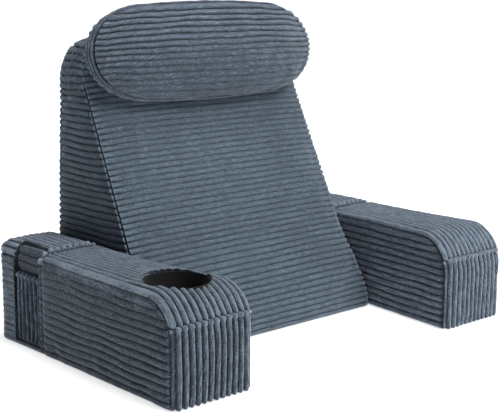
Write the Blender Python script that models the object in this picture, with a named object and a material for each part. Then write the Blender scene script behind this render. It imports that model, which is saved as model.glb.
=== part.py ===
"""Reading pillow with arms, covered in wide-ribbed plush cloth.

A foam wedge for the back stands between two boxed arms. Each arm is sewn to a
block behind it, a boxed headrest lies against the top of the wedge, the left
arm has a round well for a cup, and the left block has a slot pocket on its
outer side. Left and right are as seen from the front.

Metres, +Z up, -Y to the front. Depths are measured forward from the back
plane, so a point at depth d has y = BACK_Y - d.
"""

import math

import bmesh
import bpy

# Cloth
RIB_PITCH = 0.0108
RIB_HEIGHT = 0.003
PIECE_GAP = 0.0003
SOFT_GAP = 0.001
WELD = 0.00005
SMOOTH_ANGLE = math.radians(50)

# Whole object
OVERALL_DEPTH = 0.4725
BACK_Y = OVERALL_DEPTH / 2

# Backrest wedge
WEDGE_FOOT_WIDTH = 0.476
WEDGE_SIDE_TOP_WIDTH = 0.4575
WEDGE_FOOT = 0.2800
WEDGE_TOP = 0.4815
WEDGE_FRONT_SLOPE = 0.475
WEDGE_BACK_SLOPE = 0.02
WEDGE_CORNER = 0.016
WEDGE_CORNER_SHARE = 0.45
WEDGE_CROWN = 0.005
WEDGE_BELLY = 0.014
WEDGE_BELLY_HEIGHT = 0.14
WEDGE_BELLY_POWER = 0.66
WEDGE_SIDE_HEIGHT = 0.4116
WEDGE_RIB_RISE = 0.0098
WEDGE_CAP_RIBS = 7
WEDGE_SHOULDER = 0.049
WEDGE_FACE_STEPS = 4
WEDGE_SIDE_STEPS = 2
CORNER_STEPS = 3
CORNER_LIFT = 0.45

# Arms and the blocks behind them
ARM_HEIGHT = 0.1600
LEFT_SEAM_DEPTH = 0.137
RIGHT_SEAM_DEPTH = 0.176
ARM_NOSE_RADIUS = 0.056
ARM_EDGE_RADIUS = 0.006
ARM_OUTER_BACK = 0.3543
ARM_OUTER_FRONT = 0.3632
ARM_INNER_FRONT = 0.2178
ARM_INNER_FLARE_START = 0.272
ARM_FLARE_POWER = 1.3
ARM_FRONT_SEAM_HEIGHT = 0.1160
ARM_RIBS_ACROSS = 14
ARM_CROWN = 0.0015
ARM_SIDE_BULGE = 0.0015
BLOCK_OUTER = 0.3528
BLOCK_HEIGHT = 0.1640
BLOCK_NOSE_RADIUS = 0.020
BLOCK_EDGE_RADIUS = 0.018
BLOCK_RIBS_ACROSS = 13
SEAM_PINCH = 0.003
SEAM_REACH = 0.007
FLOOR_TUCK = 0.003
FLOOR_TUCK_HEIGHT = 0.006
NOSE_STEPS = 5
LEAST_LEVEL_STEP = 0.0018
FLAT_STEP = 0.08

# Headrest
HEAD_HALF_LENGTH = 0.2345
HEAD_HALF_HEIGHT = 0.0775
HEAD_END_LENGTH = 0.098
HEAD_END_POWER = 2.18
HEAD_ARCH = 0.18
HEAD_BAND = 0.0176
HEAD_BAND_RIBS = 2
HEAD_FRONT_CROWN = 0.027
HEAD_BACK_CROWN = 0.036
HEAD_CROWN_POWERS = (4, 2.6, 0.6)
HEAD_RIB_CLOSING = 8
HEAD_TILT = math.radians(8.6)
HEAD_LEAN = -0.007
HEAD_DEPTH = 0.1062
HEAD_CENTRE_HEIGHT = 0.4536
HEAD_COLUMNS = (0.0, 0.28, 0.55, 0.76, 0.9, 0.97, 1.0)

# Cup well in the left arm
WELL_X = -0.288
WELL_DEPTH_BACK = 0.3860
WELL_RADIUS = 0.0506
WELL_DEEP = 0.075
WELL_WALL = 0.002
WELL_STEPS = 36
WELL_RIM_HEIGHT = 0.1585
WELL_RIM_ROUND = 0.002

# Slot pocket in the left block
SLOT_BACK = 0.0605
SLOT_FRONT = 0.1300
SLOT_BOTTOM = 0.008
SLOT_FLOOR_X = -0.3355
SLOT_LIP_X = -0.3305
SLOT_BEND_HEIGHT = 0.140
SLOT_CLEAR = 0.02
POCKET_TOP = 0.1210
POCKET_CLOTH = 0.003
POCKET_RIBS = 7
INNER_CLOTH = 0.003
INNER_RIB_HEIGHT = 0.002
INNER_TOP = 0.160

# Colours, linear, from the cloth in daylight
SLATE = (0.105, 0.135, 0.175, 1.0)
SLATE_DARK = (0.065, 0.080, 0.110, 1.0)
BLACK_LINING = (0.012, 0.012, 0.014, 1.0)


def clear_scene():
    """Remove every object that the scene starts with."""
    for item in list(bpy.data.objects):
        bpy.data.objects.remove(item, do_unlink=True)


def cloth_material(name, colour, roughness):
    """Return a plain cloth material."""
    material = bpy.data.materials.new(name)
    material.use_nodes = True
    shader = material.node_tree.nodes["Principled BSDF"]
    shader.inputs["Base Color"].default_value = colour
    shader.inputs["Roughness"].default_value = roughness
    shader.inputs["Metallic"].default_value = 0.0
    return material


def place(x, depth, z):
    """Return the world point at a depth forward from the back plane."""
    return (x, BACK_Y - depth, z)


def join_rows(bm, rows, closed=False):
    """Join neighbouring rows of points with faces."""
    lines = [[bm.verts.new(point) for point in row] for row in rows]
    for low, high in zip(lines, lines[1:]):
        count = len(low)
        for i in range(count if closed else count - 1):
            j = (i + 1) % count
            bm.faces.new((low[i], low[j], high[j], high[i]))


def close_and_name(bm, name, material):
    """Weld the seams, fill the flat ends, face outward and make the object."""
    bmesh.ops.remove_doubles(bm, verts=bm.verts, dist=WELD)
    open_edges = [edge for edge in bm.edges if edge.is_boundary]
    bmesh.ops.holes_fill(bm, edges=open_edges, sides=0)
    flat_ends = [face for face in bm.faces if len(face.verts) > 4]
    bmesh.ops.triangulate(bm, faces=flat_ends)
    bmesh.ops.recalc_face_normals(bm, faces=bm.faces)
    mesh = bpy.data.meshes.new(name)
    bm.to_mesh(mesh)
    bm.free()
    mesh.shade_smooth()
    mesh.set_sharp_from_angle(angle=SMOOTH_ANGLE)
    mesh.materials.append(material)
    made = bpy.data.objects.new(name, mesh)
    bpy.context.collection.objects.link(made)
    return made


def rib_count(length, pitch=RIB_PITCH):
    """Return how many whole ribs fill a length."""
    return max(1, round(length / pitch))


def rib_lift(distance, length, ribs):
    """Return the height of a round rib at a distance along a length."""
    return abs(math.sin(math.pi * ribs * distance / length))


def spread(count):
    """Return count + 1 even fractions from 0 to 1."""
    return [i / count for i in range(count + 1)]


def subtract(target, cutter, name):
    """Cut a hidden tool object out of a target with a live Boolean."""
    cutter.hide_render = True
    cutter.display_type = "WIRE"
    cut = target.modifiers.new(name, "BOOLEAN")
    cut.operation = "DIFFERENCE"
    cut.solver = "EXACT"
    cut.object = cutter


# Backrest wedge


def wedge_top_arc():
    """Return radius, centre depth and centre height of the wedge's top round."""
    front_length = math.hypot(1, WEDGE_FRONT_SLOPE)
    back_length = math.hypot(1, WEDGE_BACK_SLOPE)
    slopes = WEDGE_FRONT_SLOPE + WEDGE_BACK_SLOPE
    spans = (front_length + back_length) / slopes
    radius = (WEDGE_FOOT / slopes - WEDGE_TOP) / (spans - 1)
    height = WEDGE_TOP - radius
    depth = WEDGE_BACK_SLOPE * height + radius * back_length
    return radius, depth, height


def wedge_outline(distance, front):
    """Return depth, height and outward normal along one side of the outline.

    The distance runs from the floor up the straight face and over the top
    round; past the crest it stays there.
    """
    radius, centre_depth, centre_height = wedge_top_arc()
    slope = WEDGE_FRONT_SLOPE if front else WEDGE_BACK_SLOPE
    outward = 1 if front else -1
    length = math.hypot(1, slope)
    straight = (centre_height + radius * slope / length) * length
    if distance <= straight:
        height = distance / length
        foot = WEDGE_FOOT + wedge_belly(height) if front else 0.0
        return foot - outward * slope * height, height, outward / length, slope / length
    turn = min((distance - straight) / radius + math.atan(slope), math.pi / 2)
    normal_depth = outward * math.cos(turn)
    normal_height = math.sin(turn)
    depth = centre_depth + radius * normal_depth
    return depth, centre_height + radius * normal_height, normal_depth, normal_height


def wedge_outline_length(front):
    """Return the length of one side of the outline up to the crest."""
    radius, _, centre_height = wedge_top_arc()
    slope = WEDGE_FRONT_SLOPE if front else WEDGE_BACK_SLOPE
    length = math.hypot(1, slope)
    straight = (centre_height + radius * slope / length) * length
    return straight + radius * (math.pi / 2 - math.atan(slope))


def wedge_belly(z):
    """Return how far the wedge's front hangs forward at a height, low down."""
    part = min(1.0, z / WEDGE_BELLY_HEIGHT)
    return WEDGE_BELLY * math.sin(math.pi * part**WEDGE_BELLY_POWER)


def wedge_half_width(z):
    """Return half the wedge's width at a height, below its shoulders."""
    part = min(1.0, z / WEDGE_SIDE_HEIGHT)
    return (WEDGE_FOOT_WIDTH + (WEDGE_SIDE_TOP_WIDTH - WEDGE_FOOT_WIDTH) * part) / 2


def wedge_front_depth(x, z):
    """Return the depth of the wedge's front at a place, over its ribs."""
    radius, centre_depth, centre_height = wedge_top_arc()
    tangent = centre_height + radius * WEDGE_FRONT_SLOPE / math.hypot(1, WEDGE_FRONT_SLOPE)
    if z < tangent:
        face = WEDGE_FOOT - WEDGE_FRONT_SLOPE * z
    else:
        rise = min(z - centre_height, radius)
        face = centre_depth + math.sqrt(radius * radius - rise * rise)
    return face + wedge_crown(x, z)


def wedge_crown(x, z):
    """Return how far the wedge's front swells out at a place."""
    across = 1 - (x / wedge_half_width(z)) ** 2
    up = 4 * (z / WEDGE_TOP) * (1 - z / WEDGE_TOP)
    return WEDGE_CROWN * max(across, 0) * max(up, 0)


def wedge_ring(back, front, half_width, lift):
    """Return one closed ring of the wedge, ribs raised by lift."""
    inset = RIB_HEIGHT - lift
    thickness = front[0] - back[0]
    corner = min(WEDGE_CORNER, WEDGE_CORNER_SHARE * thickness)
    reach = half_width - corner
    radius = corner - inset - (1 - CORNER_LIFT) * lift
    ring = []

    def edge_point(edge, x):
        """Return a point on the front or back edge, moved along its normal."""
        swell = wedge_crown(x, edge[1]) if edge is front else 0.0
        move = swell - inset
        return place(x, edge[0] + move * edge[2], max(0.0, edge[1] + move * edge[3]))

    def corner_points(x_sign, edge, start, stop):
        """Return the points inside one rounded corner."""
        points = []
        for step in range(1, CORNER_STEPS):
            turn = start + (stop - start) * step / CORNER_STEPS
            x = x_sign * (reach + radius * math.cos(turn))
            sink = corner - radius * math.sin(turn)
            height = max(0.0, edge[1] - inset * math.sin(turn) * edge[3])
            points.append(place(x, edge[0] - sink * edge[4], height))
        return points

    for part in spread(WEDGE_FACE_STEPS):
        ring.append(edge_point(front, -reach + 2 * reach * part))
    ring.extend(corner_points(1, front, math.pi / 2, 0))
    side_run = [front[0] - corner, back[0] + corner]
    for part in spread(WEDGE_SIDE_STEPS):
        depth = side_run[0] + (side_run[1] - side_run[0]) * part
        height = front[1] + (back[1] - front[1]) * part
        ring.append(place(half_width - inset, depth, height))
    ring.extend(corner_points(1, back, 0, math.pi / 2))
    for part in spread(WEDGE_FACE_STEPS):
        ring.append(edge_point(back, reach - 2 * reach * part))
    ring.extend(corner_points(-1, back, math.pi / 2, 0))
    for part in spread(WEDGE_SIDE_STEPS):
        depth = side_run[1] + (side_run[0] - side_run[1]) * part
        height = back[1] + (front[1] - back[1]) * part
        ring.append(place(-half_width + inset, depth, height))
    ring.extend(corner_points(-1, front, 0, math.pi / 2))
    return ring


def wedge_edge(height, cap, is_front):
    """Return the outline's place on one side, at a height or a part of the cap."""
    slope = WEDGE_FRONT_SLOPE if is_front else WEDGE_BACK_SLOPE
    start = height * math.hypot(1, slope)
    distance = start + (wedge_outline_length(is_front) - start) * cap
    return (*wedge_outline(distance, is_front), 1 if is_front else -1)


def wedge_rings():
    """Return the wedge's rings from the floor to the crest."""
    side_ribs = rib_count(WEDGE_SIDE_HEIGHT, WEDGE_RIB_RISE)
    side_rows = [(WEDGE_SIDE_HEIGHT * part, 0.0) for part in spread(2 * side_ribs)]
    cap_rows = [(WEDGE_SIDE_HEIGHT, part) for part in spread(2 * WEDGE_CAP_RIBS)[1:]]
    rings = []
    for index, (height, cap) in enumerate(side_rows + cap_rows):
        back, front = (wedge_edge(height, cap, is_front) for is_front in (False, True))
        lift = RIB_HEIGHT * (index % 2)
        narrowing = WEDGE_SHOULDER * (1 - math.cos(cap * math.pi / 2))
        if index == 0:
            narrowing = FLOOR_TUCK
        rings.append(wedge_ring(back, front, wedge_half_width(height) - narrowing, lift))
    return rings


def build_wedge(material):
    """Build the wedge that supports the back."""
    bm = bmesh.new()
    join_rows(bm, wedge_rings(), closed=True)
    return close_and_name(bm, "backrest_wedge", material)


# Arms and blocks


class BoxedCushion:
    """A boxed cushion whose top panel runs on over its rounded free end.

    The run is the distance from the seam face to the free end; the top panel's
    ribs lie along it and the side panels' ribs lie level.
    """

    def __init__(
        self, side, height, seam_depth, end_depth, nose, edge, ribs, walls, seam_height, bulge
    ):
        self.side = side
        self.seam_depth = seam_depth
        self.forward = 1 if end_depth > seam_depth else -1
        self.length = abs(end_depth - seam_depth)
        self.nose = nose
        self.edge = edge
        self.ribs = ribs
        self.inner, self.outer = walls
        self.seam_height = seam_height
        self.bulge = bulge
        self.height = height - RIB_HEIGHT
        self.side_height = self.height - edge
        self.side_ribs = rib_count(self.side_height)

    def levels(self):
        """Return the side panel's levels: every rib line, closer round the nose."""
        rows = [self.side_height * part for part in spread(2 * self.side_ribs)]
        inner_nose = self.nose - self.edge
        for step in range(1, NOSE_STEPS):
            turn = math.pi / 2 * step / NOSE_STEPS
            level = self.side_height - inner_nose * (1 - math.sin(turn))
            if min(abs(level - row) for row in rows) > LEAST_LEVEL_STEP:
                rows.append(level)
        return sorted(rows)

    def end_run(self, z):
        """Return the run of the inset outline at a height, and its normal."""
        inner_nose = self.nose - self.edge
        rise = z - (self.height - self.nose)
        if rise <= 0 or inner_nose <= 0:
            return self.length - self.edge, 1.0, 0.0
        rise = min(rise, inner_nose)
        flat = math.sqrt(inner_nose * inner_nose - rise * rise)
        return self.length - self.nose + flat, flat / inner_nose, rise / inner_nose

    def path(self):
        """Return the inset outline from the seam face over the top to the floor."""
        flat_run = self.length - self.nose
        steps = max(2, round(flat_run / FLAT_STEP))
        points = [(flat_run * part, self.side_height, 0.0, 1.0, 0.0) for part in spread(steps)]
        for z in reversed(self.levels()[:-1]):
            run, normal_run, normal_z = self.end_run(z)
            points.append((run, z, normal_run, normal_z, self.pinch(z)))
        return points, steps

    def pinch(self, z):
        """Return how far the seam across the free end draws the cloth in."""
        if self.seam_height is None:
            return 0.0
        return SEAM_PINCH * max(0.0, 1 - abs(z - self.seam_height) / (RIB_PITCH / 2))

    def tuck(self, z):
        """Return how far the lowest cloth turns in under the cushion."""
        return FLOOR_TUCK * max(0.0, 1 - z / FLOOR_TUCK_HEIGHT)

    def world(self, run, across, z):
        """Return the world point for a run, a distance across and a height."""
        return place(self.side * across, self.seam_depth + self.forward * run, z)

    def walls(self, run):
        """Return the inner and outer wall of the base shape at a run."""
        depth = self.seam_depth + self.forward * run
        return self.inner(depth) + RIB_HEIGHT, self.outer(depth) - RIB_HEIGHT

    def strip_row(self, run, z, normal_run, normal_z, pinch):
        """Return the points across the top panel at one place of its path."""
        inner, outer = self.walls(run)
        quarter = math.pi / 2 * self.edge
        flat = outer - inner - 2 * self.edge
        total = flat + 2 * quarter
        row = []
        at_seam_face = run == 0.0
        for part in spread(2 * self.ribs):
            along = total * part
            lift = RIB_HEIGHT * rib_lift(along, total, self.ribs)
            if along < quarter:
                turn = along / self.edge
                sideways, out = -math.cos(turn), math.sin(turn)
                across = inner + self.edge
            elif along > total - quarter:
                turn = (total - along) / self.edge
                sideways, out = math.cos(turn), math.sin(turn)
                across = outer - self.edge
            else:
                sideways, out = 0.0, 1.0
                across = inner + self.edge + along - quarter
            inside = math.sin(math.pi * part)
            sink = pinch + (SEAM_PINCH if at_seam_face else 0.0) + self.tuck(z)
            reach = self.edge + lift - sink * min(1.0, 2 * inside)
            swell = ARM_CROWN * inside
            outwards = reach * out + swell
            row.append(
                self.world(
                    run + outwards * normal_run,
                    across + reach * sideways,
                    z + outwards * normal_z,
                )
            )
        return row

    def side_row(self, z, steps, is_outer):
        """Return the points of one side panel at a level, back to front."""
        run_end, _, _ = self.end_run(z)
        lift = RIB_HEIGHT * rib_lift(z, self.side_height, self.side_ribs)
        row = []
        for part in spread(steps):
            run = run_end * part
            from_seam = min(run, run_end - run)
            held = min(1.0, from_seam / SEAM_REACH)
            swell = self.bulge * math.sin(math.pi * part) * math.sin(math.pi * z / self.side_height)
            inner, outer = self.walls(run)
            if is_outer:
                across = outer + lift * held + swell
            else:
                across = inner - lift * held
            row.append(self.world(run, across, z))
        return row

    def build(self, name, material):
        """Build the cushion as one closed body."""
        bm = bmesh.new()
        path, steps = self.path()
        join_rows(bm, [self.strip_row(*point) for point in path])
        for is_outer in (False, True):
            rows = [self.side_row(z, steps, is_outer) for z in self.levels()]
            join_rows(bm, rows)
        return close_and_name(bm, name, material)


def arm_inner(depth):
    """Return the arm's inner wall at a depth: straight, then flaring in."""
    wall = WEDGE_FOOT_WIDTH / 2 + SOFT_GAP
    flare = (depth - ARM_INNER_FLARE_START) / (OVERALL_DEPTH - ARM_INNER_FLARE_START)
    return wall - (wall - ARM_INNER_FRONT) * max(0.0, flare) ** ARM_FLARE_POWER


def arm_outer(depth):
    """Return the arm's outer wall at a depth, wider to the front."""
    part = (depth - LEFT_SEAM_DEPTH) / (OVERALL_DEPTH - LEFT_SEAM_DEPTH)
    return ARM_OUTER_BACK + (ARM_OUTER_FRONT - ARM_OUTER_BACK) * part


def block_inner(_depth):
    """Return the block's inner wall."""
    return WEDGE_FOOT_WIDTH / 2 + SOFT_GAP


def block_outer(_depth):
    """Return the block's outer wall."""
    return BLOCK_OUTER


def build_arm(side, seam_depth, name, material):
    """Build one arm, from the seam behind it to its rounded front."""
    cushion = BoxedCushion(
        side,
        ARM_HEIGHT,
        seam_depth,
        OVERALL_DEPTH - RIB_HEIGHT - ARM_CROWN,
        ARM_NOSE_RADIUS,
        ARM_EDGE_RADIUS,
        ARM_RIBS_ACROSS,
        (arm_inner, arm_outer),
        ARM_FRONT_SEAM_HEIGHT,
        ARM_SIDE_BULGE,
    )
    return cushion.build(name, material)


def build_block(side, seam_depth, name, material):
    """Build the block behind one arm, from the shared seam to the back."""
    cushion = BoxedCushion(
        side,
        BLOCK_HEIGHT,
        seam_depth - PIECE_GAP,
        RIB_HEIGHT + ARM_CROWN,
        BLOCK_NOSE_RADIUS,
        BLOCK_EDGE_RADIUS,
        BLOCK_RIBS_ACROSS,
        (block_inner, block_outer),
        None,
        0.0,
    )
    return cushion.build(name, material)


# Cup well


def circle(radius, z, steps):
    """Return a ring of points round the well's axis."""
    ring = []
    for i in range(steps):
        turn = 2 * math.pi * i / steps
        x = WELL_X + radius * math.cos(turn)
        ring.append(place(x, WELL_DEPTH_BACK - radius * math.sin(turn), z))
    return ring


def build_well_cutter():
    """Build the tool that opens the left arm for the well."""
    bm = bmesh.new()
    floor = WELL_RIM_HEIGHT - WELL_DEEP
    rows = [circle(WELL_RADIUS, z, WELL_STEPS) for z in (floor, 2 * ARM_HEIGHT - floor)]
    join_rows(bm, rows, closed=True)
    return close_and_name(bm, "well_cutter", cloth_material("well_tool", SLATE, 1.0))


def build_well(material):
    """Build the thin lining of the well, open at the top."""
    outer = WELL_RADIUS - PIECE_GAP
    inner = outer - WELL_WALL
    floor = WELL_RIM_HEIGHT - WELL_DEEP + PIECE_GAP
    profile = (
        (outer, floor),
        (outer, WELL_RIM_HEIGHT - WELL_RIM_ROUND),
        (outer - WELL_WALL / 2, WELL_RIM_HEIGHT),
        (inner, WELL_RIM_HEIGHT - WELL_RIM_ROUND),
        (inner, floor + WELL_WALL),
    )
    bm = bmesh.new()
    join_rows(bm, [circle(radius, z, WELL_STEPS) for radius, z in profile], closed=True)
    return close_and_name(bm, "cup_well_lining", material)


# Slot pocket


def build_slot_cutter():
    """Build the tool that opens the slot in the left block's outer side."""
    profile = (
        (SLOT_FLOOR_X, SLOT_BOTTOM),
        (SLOT_FLOOR_X, SLOT_BEND_HEIGHT),
        (SLOT_LIP_X, BLOCK_HEIGHT),
        (SLOT_LIP_X, BLOCK_HEIGHT + SLOT_CLEAR),
        (-BLOCK_OUTER - SLOT_CLEAR, BLOCK_HEIGHT + SLOT_CLEAR),
        (-BLOCK_OUTER - SLOT_CLEAR, SLOT_BOTTOM),
    )
    bm = bmesh.new()
    rows = [[place(x, depth, z) for x, z in profile] for depth in (SLOT_BACK, SLOT_FRONT)]
    join_rows(bm, rows, closed=True)
    return close_and_name(bm, "slot_cutter", cloth_material("slot_tool", SLATE, 1.0))


def ribbed_sheet(name, material, front_rows, back_rows):
    """Build a closed sheet from its outer and inner rows of points."""
    bm = bmesh.new()
    join_rows(bm, front_rows)
    join_rows(bm, back_rows)
    for edge in (0, -1):
        join_rows(bm, [front_rows[edge], back_rows[edge]])
        ends = [[row[edge] for row in rows] for rows in (front_rows, back_rows)]
        join_rows(bm, ends)
    return close_and_name(bm, name, material)


def build_pocket(material):
    """Build the pocket's outer panel, with upright ribs."""
    start = SLOT_BACK + PIECE_GAP
    width = SLOT_FRONT - SLOT_BACK - 2 * PIECE_GAP
    inside = -BLOCK_OUTER + RIB_HEIGHT + POCKET_CLOTH
    front_rows, back_rows = [], []
    for z in (SLOT_BOTTOM + PIECE_GAP, POCKET_TOP / 2, POCKET_TOP - RIB_HEIGHT, POCKET_TOP):
        lift = RIB_HEIGHT / 2 if z == POCKET_TOP else RIB_HEIGHT
        front, back = [], []
        for part in spread(4 * POCKET_RIBS):
            depth = start + width * part
            rib = lift * rib_lift(part, 1.0, POCKET_RIBS)
            front.append(place(inside - POCKET_CLOTH - rib, depth, z))
            back.append(place(inside, depth, z))
        front_rows.append(front)
        back_rows.append(back)
    return ribbed_sheet("pocket_panel", material, front_rows, back_rows)


def build_inner_panel(material):
    """Build the pocket's inner panel, which lines the slot up to the top edge."""
    start = SLOT_BACK + PIECE_GAP
    stop = SLOT_FRONT - PIECE_GAP
    bottom = SLOT_BOTTOM + PIECE_GAP
    ribs = rib_count(INNER_TOP - bottom)
    front_rows, back_rows = [], []
    for part in spread(4 * ribs):
        z = bottom + (INNER_TOP - bottom) * part
        lean = max(0.0, z - SLOT_BEND_HEIGHT) / (BLOCK_HEIGHT - SLOT_BEND_HEIGHT)
        floor = SLOT_FLOOR_X + (SLOT_LIP_X - SLOT_FLOOR_X) * lean - PIECE_GAP
        rib = INNER_RIB_HEIGHT * rib_lift(part, 1.0, ribs)
        front_rows.append([place(floor - INNER_CLOTH - rib, depth, z) for depth in (start, stop)])
        back_rows.append([place(floor, depth, z) for depth in (start, stop)])
    return ribbed_sheet("pocket_inner_panel", material, front_rows, back_rows)


# Headrest


def head_half_length(up):
    """Return half the headrest's length at a fraction of its half height."""
    rounding = max(0.0, 1 - abs(up) ** HEAD_END_POWER) ** (1 / HEAD_END_POWER)
    return HEAD_HALF_LENGTH - HEAD_END_LENGTH * (1 - rounding)


def head_point(x, up, out):
    """Return the world point for a place on the headrest's own tilted plane."""
    arch = 1 - HEAD_ARCH * (x / HEAD_HALF_LENGTH) ** 2
    rise = up * HEAD_HALF_HEIGHT * arch + HEAD_LEAN * x
    depth = HEAD_DEPTH + out * math.cos(HEAD_TILT) - rise * math.sin(HEAD_TILT)
    z = HEAD_CENTRE_HEIGHT + rise * math.cos(HEAD_TILT) + out * math.sin(HEAD_TILT)
    return x, depth, z


def head_rows(is_front):
    """Return the rows of the headrest's front or back panel, low to high."""
    ribs = rib_count(2 * HEAD_HALF_HEIGHT)
    columns = [-c for c in reversed(HEAD_COLUMNS[1:])] + list(HEAD_COLUMNS)
    power_along, power_up, power_all = HEAD_CROWN_POWERS
    rows = []
    for part in spread(2 * ribs):
        up = 2 * part - 1
        half = head_half_length(up)
        row = []
        for column in columns:
            fill = (1 - abs(column) ** power_along) * (1 - abs(up) ** power_up)
            fill = fill**power_all
            held = min(1.0, HEAD_RIB_CLOSING * (1 - abs(column)))
            rib = RIB_HEIGHT * rib_lift(part, 1.0, ribs) * held
            if is_front:
                out = HEAD_BAND + HEAD_FRONT_CROWN * fill + rib
            else:
                out = -HEAD_BACK_CROWN * fill - rib
            x, depth, z = head_point(column * half, up, out)
            if not is_front:
                depth = max(depth, wedge_front_depth(x, z) + 2 * PIECE_GAP)
            row.append(place(x, depth, z))
        rows.append(row)
    return rows


def head_outline():
    """Return the closed outline of the headrest's panels as (x, up) pairs."""
    ribs = rib_count(2 * HEAD_HALF_HEIGHT)
    columns = [-c for c in reversed(HEAD_COLUMNS[1:])] + list(HEAD_COLUMNS)
    ups = [2 * part - 1 for part in spread(2 * ribs)]
    right = [(head_half_length(up), up) for up in ups]
    top = [(column * head_half_length(1), 1.0) for column in reversed(columns)]
    left = [(-head_half_length(up), up) for up in reversed(ups)]
    bottom = [(column * head_half_length(-1), -1.0) for column in columns]
    return right[:-1] + top[:-1] + left[:-1] + bottom[:-1]


def head_band_rows():
    """Return the rings of the band round the headrest, back seam to front seam."""
    rows = []
    outline = head_outline()
    for part in spread(2 * HEAD_BAND_RIBS):
        lift = RIB_HEIGHT * rib_lift(part, 1.0, HEAD_BAND_RIBS)
        grow_x = 1 + lift / HEAD_HALF_LENGTH
        grow_up = 1 + lift / HEAD_HALF_HEIGHT
        ring = []
        for x, up in outline:
            ring.append(place(*head_point(x * grow_x, up * grow_up, HEAD_BAND * part)))
        rows.append(ring)
    return rows


def build_headrest(material):
    """Build the headrest: two crowned panels joined by a narrow band."""
    bm = bmesh.new()
    join_rows(bm, head_rows(True))
    join_rows(bm, head_rows(False))
    join_rows(bm, head_band_rows(), closed=True)
    return close_and_name(bm, "headrest", material)


def main():
    """Build every piece of the pillow."""
    clear_scene()
    cloth = {
        name: cloth_material(name, SLATE, 0.9)
        for name in ("wedge_cloth", "headrest_cloth", "arm_cloth", "block_cloth", "pocket_cloth")
    }
    inner_cloth = cloth_material("pocket_inner_cloth", SLATE_DARK, 0.95)
    lining = cloth_material("well_lining_cloth", BLACK_LINING, 0.8)
    build_wedge(cloth["wedge_cloth"])
    build_headrest(cloth["headrest_cloth"])
    build_arm(1, RIGHT_SEAM_DEPTH, "right_arm", cloth["arm_cloth"])
    left_arm = build_arm(-1, LEFT_SEAM_DEPTH, "left_arm", cloth["arm_cloth"])
    build_block(1, RIGHT_SEAM_DEPTH, "right_block", cloth["block_cloth"])
    left_block = build_block(-1, LEFT_SEAM_DEPTH, "left_block", cloth["block_cloth"])
    subtract(left_arm, build_well_cutter(), "well")
    subtract(left_block, build_slot_cutter(), "slot")
    build_well(lining)
    build_pocket(cloth["pocket_cloth"])
    build_inner_panel(inner_cloth)


main()
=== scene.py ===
"""The look of a reading pillow with arms, covered in wide-ribbed plush cloth.

Each cushion is sewn from panels. A panel is a smooth soft surface with round
ribs raised on it; its ribs close like finger tips at the seams, and a narrow
ribbon of cloth at the bottom of each seam joins it to the next panel. The foam
pushes the panels out between their seams in a cloth simulation.

Metres, +Z up, -Y to the front. A point at depth d has y = BACK_Y - d.
"""

import logging
import math
from dataclasses import dataclass, field
from enum import Enum
from functools import cache
from typing import Callable, Sequence

import bmesh
import bpy
import numpy as np
from mathutils import Matrix, Vector


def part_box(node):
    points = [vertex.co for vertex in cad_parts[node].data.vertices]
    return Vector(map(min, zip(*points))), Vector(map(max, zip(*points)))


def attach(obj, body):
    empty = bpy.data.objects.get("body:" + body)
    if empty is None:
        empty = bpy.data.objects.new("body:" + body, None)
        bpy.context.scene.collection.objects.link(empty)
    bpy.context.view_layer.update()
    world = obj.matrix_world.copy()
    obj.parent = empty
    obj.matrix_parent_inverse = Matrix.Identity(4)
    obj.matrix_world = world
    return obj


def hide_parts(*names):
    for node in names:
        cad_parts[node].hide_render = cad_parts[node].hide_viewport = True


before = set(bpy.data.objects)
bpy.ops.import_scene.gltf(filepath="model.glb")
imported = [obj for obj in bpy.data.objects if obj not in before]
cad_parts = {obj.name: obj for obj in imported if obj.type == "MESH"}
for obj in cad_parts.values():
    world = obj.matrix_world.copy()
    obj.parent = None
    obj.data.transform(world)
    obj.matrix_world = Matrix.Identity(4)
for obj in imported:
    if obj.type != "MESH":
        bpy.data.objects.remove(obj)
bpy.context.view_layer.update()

LOG = logging.getLogger("reading_pillow")

BODY = "root"
QUARTER = math.pi / 2  # A quarter turn.
TINY = 1e-8  # Keeps a division from being by 0.

OVERALL_DEPTH = 0.4725
BACK_Y = OVERALL_DEPTH / 2
WEDGE_FOOT_WIDTH = 0.476
WALL_GAP = 0.001  # Between the wedge's foot and the cushions beside it.
CROWN = 0.0015  # How far the arms' and blocks' panels swell.
RIB_HEIGHT = 0.0040
SEAM_ALLOWANCE = 0.0004  # How far a panel stops short of its seams.

VALLEY_CROWDING = 0.75  # How strongly a rib's points crowd towards its valleys.
FUZZ_FILL = 0.95  # How much brushed pile fills the valleys, as a share.
PILE_STAND = 0.8  # How high worn cloth stands, as a share of a rib.
STRAY_WAVE = 0.11  # How long the ribs' sideways waves are.
STRAY_FREE = 0.02  # How far from a seam the ribs begin to stray.
UNEVENNESS = 0.05  # How much the ribs' height varies, as a share.
UNEVEN_WAVE = 0.04  # How long the waves in the ribs' height are.
UNEVEN_SEED = 50  # What is added to a panel's seed for them.
LAY_STEP = 0.37  # How far apart the panels lie in the streaks' own space.

Array = np.ndarray
Surface = Callable[[Array, Array], Array]  # Points, from parts along and across a panel.
Relief = Callable[[Array, Array], Array]  # Shares, from metres along and across it.
Colour = tuple[float, float, float, float]
Place = tuple[float, float, float]

WHITE: Colour = (1.0, 1.0, 1.0, 1.0)


class Hand(Enum):
    """The pillow's two sides, as the viewer of its front sees them."""

    LEFT = -1
    RIGHT = 1


SEAM_DEPTHS = {Hand.LEFT: 0.137, Hand.RIGHT: 0.176}  # Where each arm meets its block.


# Numbers and curves


def place(x: Array, depth: Array, z: Array) -> Array:
    """Return world points for places at a depth forward from the back plane."""
    x, depth, z = np.broadcast_arrays(x, depth, z)
    return np.stack((x, BACK_Y - depth, z), axis=-1).astype(float)


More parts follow.
